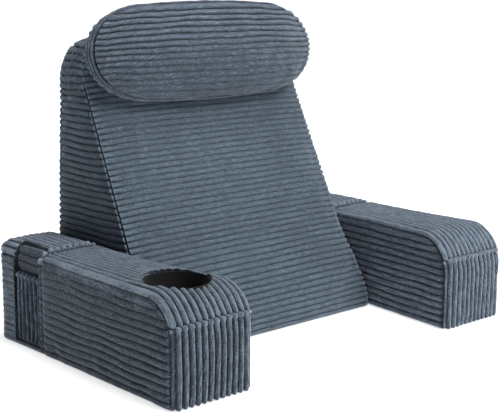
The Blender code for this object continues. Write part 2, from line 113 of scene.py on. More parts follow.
def smooth_step(value: Array) -> Array:
    """Return an eased rise from 0 to 1 as the value goes from 0 to 1."""
    value = np.clip(value, 0.0, 1.0)
    return value * value * (3 - 2 * value)


def graded(length: float, fine: float, coarse: float, growth: float = 1.25) -> Array:
    """Return places from 0 to 1, close together at both ends of a length.

    Args:
        length: The length in metres.
        fine: The first step from either end.
        coarse: The widest step, in the middle.
        growth: How much each step is longer than the last.

    Returns:
        Rising places from 0 to 1.
    """
    steps = [fine]
    while sum(steps) < length / 2 and steps[-1] * growth < coarse:
        steps.append(steps[-1] * growth)
    middle = max(0.0, length - 2 * sum(steps))
    count = max(1, round(middle / coarse))
    widths = np.array(steps + [max(middle, coarse) / count] * count + steps[::-1])
    return np.concatenate(([0.0], np.cumsum(widths))) / widths.sum()


def rib_places(ribs: int, cuts: int, phase: float) -> Array:
    """Return places across a panel, closer together beside each rib's valleys.

    Args:
        ribs: How many ribs lie side by side.
        cuts: How many places each rib has.
        phase: Where in a rib the panel begins, 0 to 1.

    Returns:
        Rising places from 0 to 1.
    """
    inside = np.arange(cuts) / cuts
    inside = inside - VALLEY_CROWDING * np.sin(2 * math.pi * inside) / (2 * math.pi)
    places = (np.arange(ribs + 1)[:, None] + inside[None, :]).ravel() - phase
    places = places[(places > 0.02) & (places < ribs - 0.02)]
    return np.concatenate(([0.0], places, [ribs])) / ribs


@dataclass(frozen=True)
class Ripple:
    """A smooth unevenness over a panel: a sum of plane waves of unit spread."""

    seed: int
    wavelength: float
    waves: int = 14

    def at(self, a: Array, b: Array) -> Array:
        """Return the unevenness at places a and b, in metres.

        Args:
            a: Metres one way over the panel.
            b: Metres the other way.

        Returns:
            The unevenness, centred on 0.
        """
        draw = np.random.default_rng(self.seed)
        total = np.zeros(np.broadcast(a, b).shape)
        for _ in range(self.waves):
            turn = draw.uniform(0, 2 * math.pi)
            pulse = 2 * math.pi / (self.wavelength * draw.uniform(0.65, 1.7))
            phase = draw.uniform(0, 2 * math.pi)
            total = total + np.sin(pulse * (a * math.cos(turn) + b * math.sin(turn)) + phase)
        return total / math.sqrt(self.waves / 2)


@dataclass(frozen=True)
class Wear:
    """How unevenly the ribs of a panel stand.

    Attributes:
        seed: What the unevenness is drawn from.
        wavelength: How long its waves are.
        amount: How much it varies the ribs' height, as a share.
        least: The least that is left of a rib.
        most: The most that a rib stands.
    """

    seed: int
    wavelength: float
    amount: float
    least: float
    most: float = 1.0

    def over(self, level: Array, along: Array, across: Array) -> Array:
        """Return shares of a full rib's height, uneven about a level."""
        uneven = Ripple(self.seed, self.wavelength).at(along, across * 2)
        return np.clip(level + self.amount * uneven, self.least, self.most)


# Panels and seams


class Side(Enum):
    """The four sides of a panel, by the way its ribs run, as parts of its grid."""

    START = (slice(None), 0)
    END = (slice(None), -1)
    LOW = (0, slice(None))
    HIGH = (-1, slice(None))


@dataclass(frozen=True)
class Tip:
    """How ribs end, or a panel's outermost rib lies, at a seam.

    Attributes:
        rounding: The length over which a rib closes.
        pinch: How deep the seam draws the cloth in.
        reach: How far from the seam the cloth is drawn in.
        swell: How much higher a rib stands just before it closes.
        dimple: How deep a rib's curled end is dimpled, as a share of its height.
        pale: How strong the painted highlight on a rib's rounded end is.
    """

    rounding: float = 0.005
    pinch: float = 0.0022
    reach: float = 0.005
    swell: float = 0.0
    dimple: float = 0.0
    pale: float = 0.0


PLAIN = Tip(rounding=0.0, pinch=0.0, reach=0.0)


@dataclass
class Panel:
    """One panel of ribbed cloth.

    Attributes:
        surface: The smooth surface, from places along and across the ribs (0 to 1).
        ribs: How many ribs lie side by side.
        along: Places along the ribs, from 0 to 1.
        cuts: How many places each rib has across it.
        start: How the ribs close where they begin.
        end: How the ribs close where they end.
        sides: How the first and the last rib lie along their seams.
        relief: How high the ribs stand, from metres along and across.
        fuzz: Where the pile is brushed up pale, 0 to 1, from metres along and across.
        painted_light: Painted light over the whole panel, or painted shade below 0, by the way the
            panel faces the light.
        phase: Where in a rib the panel begins, 0 to 1.
        wander: How far the ribs stray sideways, as a share of a rib.
        seed: What the panel's unevenness is drawn from.
        rib_height: How high a full rib stands.
        groove: How far the valleys sink under the smooth surface.
        sharpness: Under 1 for tube-like ribs with narrow valleys.
        puff: The most that the foam pushes the panel out.
        trim: What moves the finished points clear of a neighbour.
        pushed: How far the foam pushes the panel out, once that is known.
        grid: The numbers of its points in the cover, once it is built.
        looks: What the cloth's finish reads at its points.
    """

    surface: Surface
    ribs: int
    along: Array
    cuts: int = 10
    start: Tip = Tip()
    end: Tip = Tip()
    sides: Tip = Tip(rounding=0.0, pinch=0.0015, reach=0.003)
    relief: Relief | None = None
    fuzz: Relief | None = None
    painted_light: float = 0.0
    phase: float = 0.0
    wander: float = 0.035
    seed: int = 1
    rib_height: float = RIB_HEIGHT
    groove: float = 0.0
    sharpness: float = 0.55
    puff: float = 0.004
    trim: Callable[[Array], Array] | None = None
    pushed: "Puff | None" = None
    grid: Array = field(default_factory=lambda: np.zeros(0, dtype=int))
    looks: dict[str, Array] = field(default_factory=dict)

    def smooth(self, along: Array, across: Array) -> Array:
        """Return the panel without ribs, pushed out by its foam."""
        points = self.surface(along, across)
        return points if self.pushed is None else points + self.pushed.at(along, across)

    def build(self, middle: Array) -> Array:
        """Return the panel's points, a row for each place across the ribs.

        Args:
            middle: A point inside the cushion, which outward is away from.

        Returns:
            An array of rows, columns and the three coordinates.
        """
        across = rib_places(self.ribs, self.cuts, self.phase)
        flat = self.surface(*np.meshgrid(self.along, across))
        length = distance_along(flat, 1)
        width = distance_along(flat, 0)
        row_length = np.maximum(length[:, -1:], TINY)
        row_width = np.maximum(width[-1:, :], TINY)
        inset_u = SEAM_ALLOWANCE / float(np.median(row_length))
        inset_v = SEAM_ALLOWANCE / float(np.median(row_width))
        u, v = np.meshgrid(
            inset_u + (1 - 2 * inset_u) * self.along, inset_v + (1 - 2 * inset_v) * across
        )
        low, high = width, row_width - width
        back, fore = length, row_length - length
        strayed = Ripple(self.seed, STRAY_WAVE).at(length, width * 1.5)
        held = smooth_step(np.minimum(low, high) / STRAY_FREE)
        held = held * smooth_step(np.minimum(back, fore) / STRAY_FREE)
        base = self.smooth(u, np.clip(v + strayed * held * self.wander / self.ribs, 0, 1))
        normal = outward_normals(base, middle)

        turns = self.ribs * across[:, None] + self.phase
        rib = np.abs(np.sin(math.pi * turns)) ** self.sharpness
        closing = close_tip(back, self.start) * close_tip(fore, self.end)
        closing = closing * close_tip(low, self.sides) * close_tip(high, self.sides)
        curled = curl(back, rib, self.start) + curl(fore, rib, self.end)
        closing = closing * (1 - curled)
        uneven = Ripple(self.seed + UNEVEN_SEED, UNEVEN_WAVE).at(length, width)
        relief = np.ones_like(length) if self.relief is None else self.relief(length, width)
        fuzz = np.zeros_like(length) if self.fuzz is None else self.fuzz(length, width)
        relief = relief * (1 - FUZZ_FILL * fuzz)
        full = rib * closing
        # Painted highlights on the rounded ends of the ribs.
        tips = rib * (light(back, self.start) + light(fore, self.end)) * (1 - 2 * curled)
        worn = closing * (1 - relief)
        lift = full * relief * (1 + UNEVENNESS * uneven) + PILE_STAND * worn
        sink = (
            draw_in(back, self.start)
            + draw_in(fore, self.end)
            + draw_in(low, self.sides)
            + draw_in(high, self.sides)
        )
        # crest leads to painted shade in the valleys and painted highlights on the crests; fuzz
        # joins the brushed pile with the panel's painted light or shade and the painted highlights
        # on the rib ends.
        self.looks = {
            "crest": 1 - np.clip(relief, 0, 1) * (1 - full),
            "fuzz": fuzz * closing + self.painted_light + tips,
            "worn": 1 - np.clip(relief, 0, 1),
            "lay": np.stack((length, width, np.full_like(length, LAY_STEP * self.seed)), axis=-1),
        }
        rise = self.rib_height * lift - self.groove * relief * (1 - full) - sink
        points = base + normal * rise[..., None]
        return points if self.trim is None else self.trim(points)

    def edge(self, side: Side) -> Array:
        """Return the numbers of the points along one side."""
        return self.grid[side.value]

    def rim(self, *sides: Side) -> Array:
        """Return the numbers of the points along sides in turn.

        Args:
            *sides: Neighbouring sides, the way round that runs low, end, high, start.

        Returns:
            The points' numbers that way round, corners twice.
        """
        turned = (Side.HIGH, Side.START)
        return np.concatenate(
            [self.edge(side)[::-1] if side in turned else self.edge(side) for side in sides]
        )


def distance_along(points: Array, axis: int) -> Array:
    """Return each point's distance from the first one along an axis of a grid."""
    steps = np.linalg.norm(np.diff(points, axis=axis), axis=-1)
    return np.insert(np.cumsum(steps, axis=axis), 0, 0.0, axis=axis)


def outward_normals(points: Array, middle: Array) -> Array:
    """Return unit normals of a grid that point away from a middle.

    Args:
        points: A grid of points.
        middle: A point inside the cushion.

    Returns:
        A unit normal for each point.
    """
    cross = np.cross(np.gradient(points, axis=1), np.gradient(points, axis=0))
    cross /= np.maximum(np.linalg.norm(cross, axis=-1, keepdims=True), TINY**2)
    return cross if faces_out(points, middle) else -cross


def faces_out(points: Array, middle: Array) -> bool:
    """Return whether a grid's faces point away from a middle."""
    cross = np.cross(np.gradient(points, axis=1), np.gradient(points, axis=0))
    return float(np.mean(np.sum(cross * (points - middle), axis=-1))) > 0


def cells(grid: Array) -> Array:
    """Return the four corners of each cell of a grid of point numbers."""
    corners = (grid[:-1, :-1], grid[:-1, 1:], grid[1:, 1:], grid[1:, :-1])
    return np.stack([corner.ravel() for corner in corners], axis=1)


def close_tip(distance: Array, tip: Tip) -> Array:
    """Return how open a rib is at a distance from its end, 0 to 1 or a little over.

    Args:
        distance: How far places are from a seam.
        tip: How the ribs end there.

    Returns:
        0 for closed, 1 for full, and over 1 where the rib swells.
    """
    if tip.rounding <= 0:
        return np.ones_like(distance)
    near = np.clip(distance / tip.rounding, 0, 1)
    bump = tip.swell * np.exp(-(((distance - 1.1 * tip.rounding) / (0.8 * tip.rounding)) ** 2))
    return np.sqrt(np.maximum(0.0, 1 - (1 - near) ** 2)) * (1 + bump)


def curl(distance: Array, rib: Array, tip: Tip) -> Array:
    """Return how deep a curled rib end is dimpled at a distance from its end."""
    near = (distance - 0.14 * tip.rounding) / max(0.12 * tip.rounding, TINY)
    return tip.dimple * rib**6 * np.exp(-(near**2))


def light(distance: Array, tip: Tip) -> Array:
    """Return the painted highlight on a rib's rounded end, at a distance from it."""
    return tip.pale * np.exp(-((distance / max(1.2 * tip.rounding, 0.001)) ** 2))


def draw_in(distance: Array, tip: Tip) -> Array:
    """Return how far a seam draws the cloth in at a distance from it."""
    return tip.pinch * (1 - smooth_step(distance / max(tip.reach, TINY)))


def without_repeats(chain: Array) -> Array:
    """Return a chain of point numbers without one that follows itself."""
    return chain[np.append(True, chain[1:] != chain[:-1])]


# The values the finish reads: crest paints shade in the valleys and highlights on the crests; fuzz
# carries the brushed pile with each panel's painted light or shade.
LOOKS = (
    ("crest", "FLOAT", "value"),
    ("fuzz", "FLOAT", "value"),
    ("worn", "FLOAT", "value"),
    ("lay", "FLOAT_VECTOR", "vector"),
)


class SewnShell:
    """A closed cushion cover, sewn from panels."""

    def __init__(self, name: str, middle: Sequence[float]) -> None:
        """Start an empty cover with a name and a point inside it.

        Args:
            name: The piece's name.
            middle: A point inside it.
        """
        self.name = name
        self.middle = np.array(middle, dtype=float)
        self.points: list[Array] = []
        self.looks: list[dict[str, Array]] = []
        self.faces: list[tuple[int, ...]] = []
        self.count = 0

    def add(self, panel: Panel) -> None:
        """Add a panel's points and faces, and number them.

        Args:
            panel: The panel.
        """
        points = panel.build(self.middle)
        points[..., 2] = np.maximum(points[..., 2], 0.0)
        rows, columns = points.shape[:2]
        panel.grid = self.count + np.arange(rows * columns).reshape(rows, columns)
        self.count += rows * columns
        self.points.append(points.reshape(-1, 3))
        self.looks.append(panel.looks)
        self.faces.extend(map(tuple, cells(panel.grid).tolist()))

    def sew(self, first: Array, second: Array) -> None:
        """Join two chains of points that run the same way along a seam.

        Args:
            first: The numbers of the points along one side.
            second: The numbers along the other side.
        """
        points = np.concatenate(self.points)
        first, second = without_repeats(first), without_repeats(second)
        i = j = 0
        while i < len(first) - 1 or j < len(second) - 1:
            step_first = step_second = math.inf
            if i < len(first) - 1:
                step_first = np.linalg.norm(points[first[i + 1]] - points[second[j]])
            if j < len(second) - 1:
                step_second = np.linalg.norm(points[second[j + 1]] - points[first[i]])
            if step_first <= step_second:
                self.faces.append((int(first[i]), int(first[i + 1]), int(second[j])))
                i += 1
            else:
                self.faces.append((int(first[i]), int(second[j + 1]), int(second[j])))
                j += 1

    def close(self, *chains: Array) -> None:
        """Close a flat opening whose rim is made of chains laid end to end.

        Args:
            *chains: The numbers of the points along the rim.
        """
        rim = without_repeats(np.concatenate(chains)).tolist()
        if rim[0] == rim[-1]:
            rim.pop()
        self.faces.append(tuple(rim))

    def make(self) -> bpy.types.Object:
        """Make the cover's object, closed and facing outwards.

        Returns:
            The cover, in the scene.
        """
        mesh = bpy.data.meshes.new(self.name)
        mesh.from_pydata(np.concatenate(self.points).tolist(), [], self.faces)
        for name, kind, key in LOOKS:
            values = np.concatenate([look[name].ravel() for look in self.looks])
            held = mesh.attributes.new(name, kind, "POINT")
            held.data.foreach_set(key, values.astype(np.float32))
        work = bmesh.new()
        work.from_mesh(mesh)
        bmesh.ops.triangulate(work, faces=[face for face in work.faces if len(face.verts) > 4])
        bmesh.ops.recalc_face_normals(work, faces=work.faces)
        if work.calc_volume(signed=True) < 0:
            bmesh.ops.reverse_faces(work, faces=work.faces)
        open_edges = sum(1 for edge in work.edges if not edge.is_manifold)
        if open_edges:
            LOG.warning("%s has %d open edges", self.name, open_edges)
        work.to_mesh(mesh)
        work.free()
        mesh.shade_smooth()
        return linked(self.name, mesh)


# Foam that pushes the panels out


class Puff:
    """How far the foam pushes one panel out, on an even coarse net."""

    def __init__(self, moves: Array, most: float) -> None:
        """Keep the moves of a net of points, each limited to the most.

        Args:
            moves: Rows, columns and coordinates of the net's moves.
            most: The furthest that a point may move.
        """
        size = np.maximum(np.linalg.norm(moves, axis=-1, keepdims=True), TINY)
        moves = moves * (most * np.tanh(size / most) / size)
        self.rows, self.columns = moves.shape[:2]
        before = np.concatenate((-moves[1:2], moves, -moves[-2:-1]), axis=0)
        self.net = np.concatenate((-before[:, 1:2], before, -before[:, -2:-1]), axis=1)

    @staticmethod
    def weights(place_in_cell: Array) -> list[Array]:
        """Return the four weights of a cubic spline at a place in its cell.

        Args:
            place_in_cell: Parts through the cell, 0 to 1.

        Returns:
            The weights of the net's four points round about.
        """
        t = place_in_cell
        return [
            (1 - t) ** 3 / 6,
            (3 * t**3 - 6 * t**2 + 4) / 6,
            (-3 * t**3 + 3 * t**2 + 3 * t + 1) / 6,
            t**3 / 6,
        ]

    def at(self, along: Array, across: Array) -> Array:
        """Return the move at places along and across the panel.

        Args:
            along: Places along the ribs, 0 to 1.
            across: Places across them, 0 to 1.

        Returns:
            A move for each place.
        """
        x = np.clip(along, 0, 1) * (self.columns - 1)
        y = np.clip(across, 0, 1) * (self.rows - 1)
        i = np.minimum(x.astype(int), self.columns - 2)
        j = np.minimum(y.astype(int), self.rows - 2)
        total = np.zeros((*x.shape, 3))
        for row, weight_y in enumerate(self.weights(y - j)):
            for column, weight_x in enumerate(self.weights(x - i)):
                total += (weight_x * weight_y)[..., None] * self.net[j + row, i + column]
        return total


@dataclass(frozen=True)
class Foam:
    """The cloth simulation that pushes a cushion's panels out between its seams.

    Attributes:
        net: The size of the simulated net's cells.
        pressure: The foam's push on the cloth.
        slack: How much longer the cloth is than the foam, as a share.
        frames: How long the simulation runs.
        quality: How many steps each frame takes.
        mass: The weight of the cloth.
        stiffness: How much it resists a bend.
        samples: How many places each way a panel is measured at.
    """

    net: float = 0.009
    pressure: float = 4.0
    slack: float = 0.012
    frames: int = 20
    quality: int = 4
    mass: float = 0.3
    stiffness: float = 0.6
    samples: int = 9

    def fill(self, panels: Sequence[Panel], middle: Array) -> None:
        """Push the panels of one cushion out, their seams held in place.

        Args:
            panels: The cushion's panels.
            middle: A point inside the cushion.
        """
        points: list[Array] = []
        faces: list[Array] = []
        held: list[int] = []
        nets: list[tuple[Panel, int, int, int]] = []
        count = 0
        for panel in panels:
            rough = self.sampled(panel, self.samples, self.samples)
            rows, columns = (
                1 + max(4, round(float(distance_along(rough, axis).max()) / self.net))
                for axis in (0, 1)
            )
            net = self.sampled(panel, rows, columns)
            grid = count + np.arange(rows * columns).reshape(rows, columns)
            quads = cells(grid)
            faces.append(quads if faces_out(net, middle) else quads[:, ::-1])
            points.append(net.reshape(-1, 3))
            rim = np.concatenate((grid[0], grid[-1], grid[:, 0], grid[:, -1]))
            held.extend(set(rim.tolist()))
            nets.append((panel, count, rows, columns))
            count += rows * columns
        before = np.concatenate(points)
        moved = self.simulate(before, np.concatenate(faces).tolist(), held)
        for panel, first, rows, columns in nets:
            stop = first + rows * columns
            moves = (moved[first:stop] - before[first:stop]).reshape(rows, columns, 3)
            panel.pushed = Puff(moves, panel.puff)

    @staticmethod
    def sampled(panel: Panel, rows: int, columns: int) -> Array:
        """Return an even grid of points on a panel's smooth surface."""
        return panel.surface(*np.meshgrid(np.linspace(0, 1, columns), np.linspace(0, 1, rows)))

    def simulate(self, points: Array, faces: list[list[int]], held: list[int]) -> Array:
        """Run the cloth and return where its points come to rest.

        Args:
            points: The nets' points.
            faces: The numbers of each face's points.
            held: The numbers of the points that stay in place.

        Returns:
            The points at rest.
        """
        mesh = bpy.data.meshes.new("foam_net")
        mesh.from_pydata(points.tolist(), [], faces)
        net = linked("foam_net", mesh)
        seams = net.vertex_groups.new(name="seams")
        seams.add(held, 1.0, "REPLACE")
        cloth = net.modifiers.new("foam", "CLOTH")
        settings = cloth.settings
        settings.quality = self.quality
        settings.mass = self.mass
        settings.bending_stiffness = self.stiffness
        settings.use_pressure = True
        settings.uniform_pressure_force = self.pressure
        settings.vertex_group_mass = seams.name
        settings.shrink_min = -self.slack
        settings.effector_weights.gravity = 0.0
        cloth.point_cache.frame_end = self.frames
        for number in range(1, self.frames + 1):
            bpy.context.scene.frame_set(number)
        select_only(net)
        bpy.ops.object.modifier_apply(modifier=cloth.name)
        moved = np.empty(len(net.data.vertices) * 3)
        net.data.vertices.foreach_get("co", moved)
        bpy.data.objects.remove(net, do_unlink=True)
        bpy.context.scene.frame_set(1)
        return moved.reshape(-1, 3)


def linked(name: str, data: bpy.types.ID) -> bpy.types.Object:
    """Return a new object of this data, in the scene.

    Args:
        name: The object's name.
        data: Its mesh, light or camera.

    Returns:
        The object.
    """
    made = bpy.data.objects.new(name, data)
    bpy.context.collection.objects.link(made)
    return made


def select_only(piece: bpy.types.Object) -> None:
    """Select this object alone, and make it active.

    Args:
        piece: The object.
    """
    bpy.ops.object.select_all(action="DESELECT")
    piece.select_set(True)
    bpy.context.view_layer.objects.active = piece


def middle_of(node: str) -> Array:
    """Return the middle of a solid's box."""
    low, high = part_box(node)
    return (np.array(low) + np.array(high)) / 2


def dress(piece: bpy.types.Object, finish: "Plush | LiningCloth") -> None:
    """Put a finish on a piece."""
    piece.data.materials.clear()
    piece.data.materials.append(finish.make())


def boxed(part: Array, low: Array, high: Array, edge: float) -> tuple[Array, Array]:
    """Lay a panel over the top of a box with two round edges.

    Args:
        part: Parts of the way over the panel, from 0 to 1.
        low: Where the box's lower side lies across it.
        high: Where its upper side lies.
        edge: The radius of its round edges.

    Returns:
        Places across the box, and how far round its nearer edge each one lies,
        as the sine of its turn.
    """
    total = high - low - 2 * edge + 2 * QUARTER * edge
    along = total * part
    first = np.clip(along / edge, 0, QUARTER)
    last = np.clip((total - along) / edge, 0, QUARTER)
    across = np.clip(low + edge + along - QUARTER * edge, low + edge, high - edge)
    across = across + edge * (np.cos(last) - np.cos(first))
    return across, np.minimum(np.sin(first), np.sin(last))


# Cushions


@dataclass
class Cushion:
    """What every cushion of the pillow has.

    Attributes:
        name: The piece's name.
        node: The solid that it stands for.
        slot: The name of a material slot; not used.
        finish: The cloth it is covered in.
        fill: How tightly it is stuffed, 0 to 1; not used.
        piece: Its finished object.
    """

    name: str
    node: str
    slot: str
    finish: "Plush"
    fill: float = 0.85
    piece: bpy.types.Object | None = field(default=None, init=False)

    def panels(self) -> dict[str, Panel]:
        """Return the cushion's panels by name."""
        raise NotImplementedError

    def sew(self, shell: SewnShell, panels: dict[str, Panel]) -> None:
        """Sew the panels together and close the cover."""
        raise NotImplementedError

    def make(self, foam: Foam) -> None:
        """Make the cushion's piece and hide the solid that it stands for.

        Args:
            foam: What pushes its panels out.
        """
        panels, middle = self.panels(), middle_of(self.node)
        foam.fill(list(panels.values()), middle)
        shell = SewnShell(self.name, middle)
        for panel in panels.values():
            shell.add(panel)
        self.sew(shell, panels)
        self.piece = shell.make()
        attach(self.piece, BODY)
        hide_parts(self.node)
        LOG.info("%s: %d faces", self.name, len(self.piece.data.polygons))

    def dress(self) -> None:
        """Put the cushion's cloth on it."""
        dress(self.piece, self.finish)


@dataclass
class ArmCushion(Cushion):
    """A boxed arm: its top runs on over the nose to a seam, with a front below."""

    hand: Hand = Hand.RIGHT
    height: float = 0.1600
    nose: float = 0.062
    edge: float = 0.006
    outer_back: float = 0.3543
    outer_front: float = 0.3632
    inner_back: float = WEDGE_FOOT_WIDTH / 2 + WALL_GAP
    inner_front: float = 0.2143
    flare_start: float = 0.272
    seam_height: float = 0.116
    seam_zigzag: float = 0.0016
    bulge: float = 0.0015
    ribs_across: int = 13
    side_ribs: int = 13
    tuck: float = 0.003
    tuck_height: float = 0.006
    crisp_before: float = 0.075
    crisp_behind: float = 0.02
    worn_top: float = 0.40
    worn_inner: float = 0.68
    worn_outer: float = 0.24
    fuzz_reach: float = 0.0062
    fuzz_most: float = 0.9
    fuzz_start: float = 0.035
    top_share: float = 1.6
    side_share: float = 0.62
    # Painted shade over the outer side, which faces away from the light.
    side_painted_light: float = -0.55
    groove: float = 0.0022
    # Painted light over the top; the front takes less of it.
    painted_light: float = 0.42
    seed: int = 20

    def __post_init__(self) -> None:
        """Work out the lengths of the side seam's path."""
        self.seam_depth = SEAM_DEPTHS[self.hand]
        self.base_height = self.height - RIB_HEIGHT
        self.side_height = self.base_height - self.edge
        self.length = OVERALL_DEPTH - RIB_HEIGHT - CROWN - self.seam_depth
        self.inset_nose = self.nose - self.edge
        self.flat = self.length - self.nose
        self.arc_end = self.flat + self.inset_nose * QUARTER
        fall = (self.side_height - self.seam_height) / self.inset_nose
        self.front_seam = self.flat + self.inset_nose * math.acos(1 - fall)
        self.path_length = self.arc_end + self.side_height - self.inset_nose

    def walls(self, run: Array) -> tuple[Array, Array]:
        """Return the inner and outer walls under the ribs at a run from the seam.

        Args:
            run: Distances forward from the seam.

        Returns:
            The distances of both walls from the pillow's middle.
        """
        depth = self.seam_depth + run
        flare = (depth - self.flare_start) / (OVERALL_DEPTH - self.flare_start)
        inner = self.inner_back - (self.inner_back - self.inner_front) * np.clip(flare, 0, None)
        taper_start = SEAM_DEPTHS[Hand.LEFT]
        part = (depth - taper_start) / (OVERALL_DEPTH - taper_start)
        outer = self.outer_back + (self.outer_front - self.outer_back) * part
        return inner + RIB_HEIGHT, outer - RIB_HEIGHT

    def world(self, run: Array, across: Array, z: Array) -> Array:
        """Return world points for a run from the seam and a distance across."""
        return place(self.hand.value * across, self.seam_depth + run, z)

    def tucked(self, z: Array) -> Array:
        """Return how far the lowest cloth turns in under the arm."""
        return self.tuck * np.clip(1 - z / self.tuck_height, 0, 1) ** 2

    def strip(self, distance: Array, part: Array) -> Array:
        """Return the top's points at distances along its path and parts across.

        Args:
            distance: Distances along the path.
            part: Parts across it, 0 to 1.

        Returns:
            Points.
        """
        turn = np.clip((distance - self.flat) / self.inset_nose, 0, QUARTER)
        down = np.clip(distance - self.arc_end, 0, None)
        run = np.minimum(distance, self.flat) + self.inset_nose * np.sin(turn)
        z = self.side_height - self.inset_nose * (1 - np.cos(turn)) - down
        across, out = boxed(part, *self.walls(run), self.edge)
        reach = self.edge * out + CROWN * np.sin(math.pi * part) - self.tucked(z)
        return self.world(run + reach * np.sin(turn), across, z + reach * np.cos(turn))

    def nose_strip(self, part: Array, across: Array, is_top: bool) -> Array:
        """Return the top's or the front's points: their seam runs in a zigzag.

        Args:
            part: Parts along the ribs, 0 to 1.
            across: Parts across them, 0 to 1.
            is_top: Whether these are the top's points.

        Returns:
            Points.
        """
        wave = np.cos(2 * math.pi * self.ribs_across * across)
        seam = self.front_seam - self.seam_zigzag * wave
        if is_top:
            return self.strip(seam * part, across)
        return self.strip(seam + (self.path_length - seam) * part, across)

    def run_end(self, z: Array) -> Array:
        """Return where the side seam lies at a height."""
        rise = np.clip(z - (self.base_height - self.nose), 0, self.inset_nose)
        return self.flat + np.sqrt(self.inset_nose**2 - rise**2)

    def wall(self, part: Array, up: Array, is_outer: bool) -> Array:
        """Return a side panel's points at parts along it and up it.

        Args:
            part: Parts along it, 0 to 1.
            up: Parts up it, 0 to 1.
            is_outer: Whether it is the outer side.

        Returns:
            Points.
        """
        z = self.side_height * up
        run = self.run_end(z) * part
        inner, outer = self.walls(run)
        swell = self.bulge * np.sin(math.pi * part) * np.sin(math.pi * up) - self.tucked(z)
        return self.world(run, outer + swell if is_outer else inner - swell * 0.3, z)

    def top_relief(self, along: Array, across: Array) -> Array:
        """Return how high the top's ribs stand: sat on behind, full on the nose.

        Args:
            along: Metres along the ribs.
            across: Metres across them.

        Returns:
            Shares of a full rib.
        """
        ahead = smooth_step((along - self.flat + self.crisp_before) / self.crisp_before)
        full = np.maximum(ahead, smooth_step(1 - along / self.crisp_behind))
        level = self.worn_top + (1 - self.worn_top) * full
        return Wear(self.seed + 7, 0.05, 0.08, 0.1, most=1.15).over(level, along, across)

    def edge_fuzz(self, along: Array, inside: Array) -> Array:
        """Return how pale the pile is at a distance inside the top's outer edge.

        Args:
            along: Metres along the ribs.
            inside: Metres in from the edge.

        Returns:
            How pale the pile is, 0 to 1.
        """
        ragged = Ripple(self.seed + 11, 0.007).at(along, inside * 0.7)
        broad = Ripple(self.seed + 12, 0.05).at(along, inside * 0.3)
        reach = self.fuzz_reach * np.clip(1 + 0.45 * ragged + 0.35 * broad, 0.2, None)
        begun = smooth_step((along - self.fuzz_start) / self.fuzz_start)
        return self.fuzz_most * begun * smooth_step(1.4 - 0.9 * inside / reach)

    def top_fuzz(self, along: Array, across: Array) -> Array:
        """Return where the top's pile is brushed up: along its outer edge."""
        inside = np.max(across, axis=0, keepdims=True) - across
        return self.edge_fuzz(along, inside * self.top_share)

    def side_fuzz(self, along: Array, across: Array) -> Array:
        """Return where the outer side's pile is brushed up: along its top and nose."""
        inside = np.minimum(self.side_height - across, self.run_end(across) - along)
        return self.edge_fuzz(along, np.abs(inside)) * self.side_share

    def inner_relief(self, along: Array, across: Array) -> Array:
        """Return how high the inner side's ribs stand: a little worn."""
        return Wear(self.seed + 8, 0.06, 0.08, 0.3).over(self.worn_inner, along, across)

    def side_relief(self, along: Array, across: Array) -> Array:
        """Return how high the outer side's ribs stand: soft up high and behind.

        Args:
            along: Metres along the ribs.
            across: Metres across them.

        Returns:
            Shares of a full rib.
        """
        low = smooth_step((self.side_height - across) / (0.75 * self.side_height))
        level = self.worn_outer + 0.30 * low + 0.22 * smooth_step(along / self.length)
        return Wear(self.seed + 9, 0.06, 0.08, 0.12).over(level, along, across)

    def panels(self) -> dict[str, Panel]:
        """Return the arm's top, front and two sides.

        Returns:
            Those panels by name.
        """
        front_length = self.path_length - self.front_seam
        side_places = graded(self.length, 0.0007, 0.005)
        dive = Tip(rounding=0.0022, pinch=0.0010, reach=0.003, pale=0.10)
        ring = Tip(rounding=0.0090, pinch=0.0045, reach=0.010)
        knuckle = Tip(rounding=0.0030, pinch=0.0, reach=0.003, swell=0.65, pale=0.85)
        brushed = Tip(rounding=0.0, pinch=0.0003, reach=0.003)
        floor = Tip(rounding=0.004, pinch=0.001, reach=0.003)
        hem = Tip(rounding=0.002, pinch=0.0004, reach=0.002)
        return {
            "top": Panel(
                lambda u, v: self.nose_strip(u, v, True),
                self.ribs_across,
                graded(self.front_seam, 0.0006, 0.0045),
                start=ring,
                end=dive,
                relief=self.top_relief,
                sides=brushed,
                groove=self.groove,
                fuzz=self.top_fuzz,
                painted_light=self.painted_light,
                seed=self.seed,
                sharpness=0.7,
                puff=0.0015,
            ),
            "front": Panel(
                lambda u, v: self.nose_strip(u, v, False),
                self.ribs_across,
                graded(front_length, 0.0005, 0.005),
                start=knuckle,
                end=floor,
                sides=hem,
                phase=0.5,
                groove=self.groove,
                painted_light=self.painted_light - 0.28,
                seed=self.seed + 1,
                sharpness=0.9,
                wander=0.05,
                puff=0.002,
            ),
            "inner": Panel(
                lambda u, v: self.wall(u, v, False),
                self.side_ribs,
                side_places,
                relief=self.inner_relief,
                painted_light=-0.20,
                seed=self.seed + 2,
                sharpness=0.8,
                puff=0.001,
            ),
            "outer": Panel(
                lambda u, v: self.wall(u, v, True),
                self.side_ribs,
                side_places,
                sides=brushed,
                relief=self.side_relief,
                fuzz=self.side_fuzz,
                painted_light=self.side_painted_light,
                seed=self.seed + 3,
                wander=0.10,
                puff=0.003,
            ),
        }

    def sew(self, shell: SewnShell, panels: dict[str, Panel]) -> None:
        """Sew the arm's panels, and close its floor and the face behind it.

        Args:
            shell: The cover.
            panels: Its panels.
        """
        top, front, inner, outer = (panels[n] for n in ("top", "front", "inner", "outer"))
        shell.sew(top.edge(Side.END), front.edge(Side.START))
        for wall, side in ((inner, Side.LOW), (outer, Side.HIGH)):
            strip = np.concatenate((top.edge(side), front.edge(side)))
            shell.sew(strip, wall.rim(Side.END, Side.HIGH)[::-1])
        shell.close(front.edge(Side.END), outer.edge(Side.LOW)[::-1], inner.edge(Side.LOW))
        shell.close(top.edge(Side.START), outer.edge(Side.START)[::-1], inner.edge(Side.START))


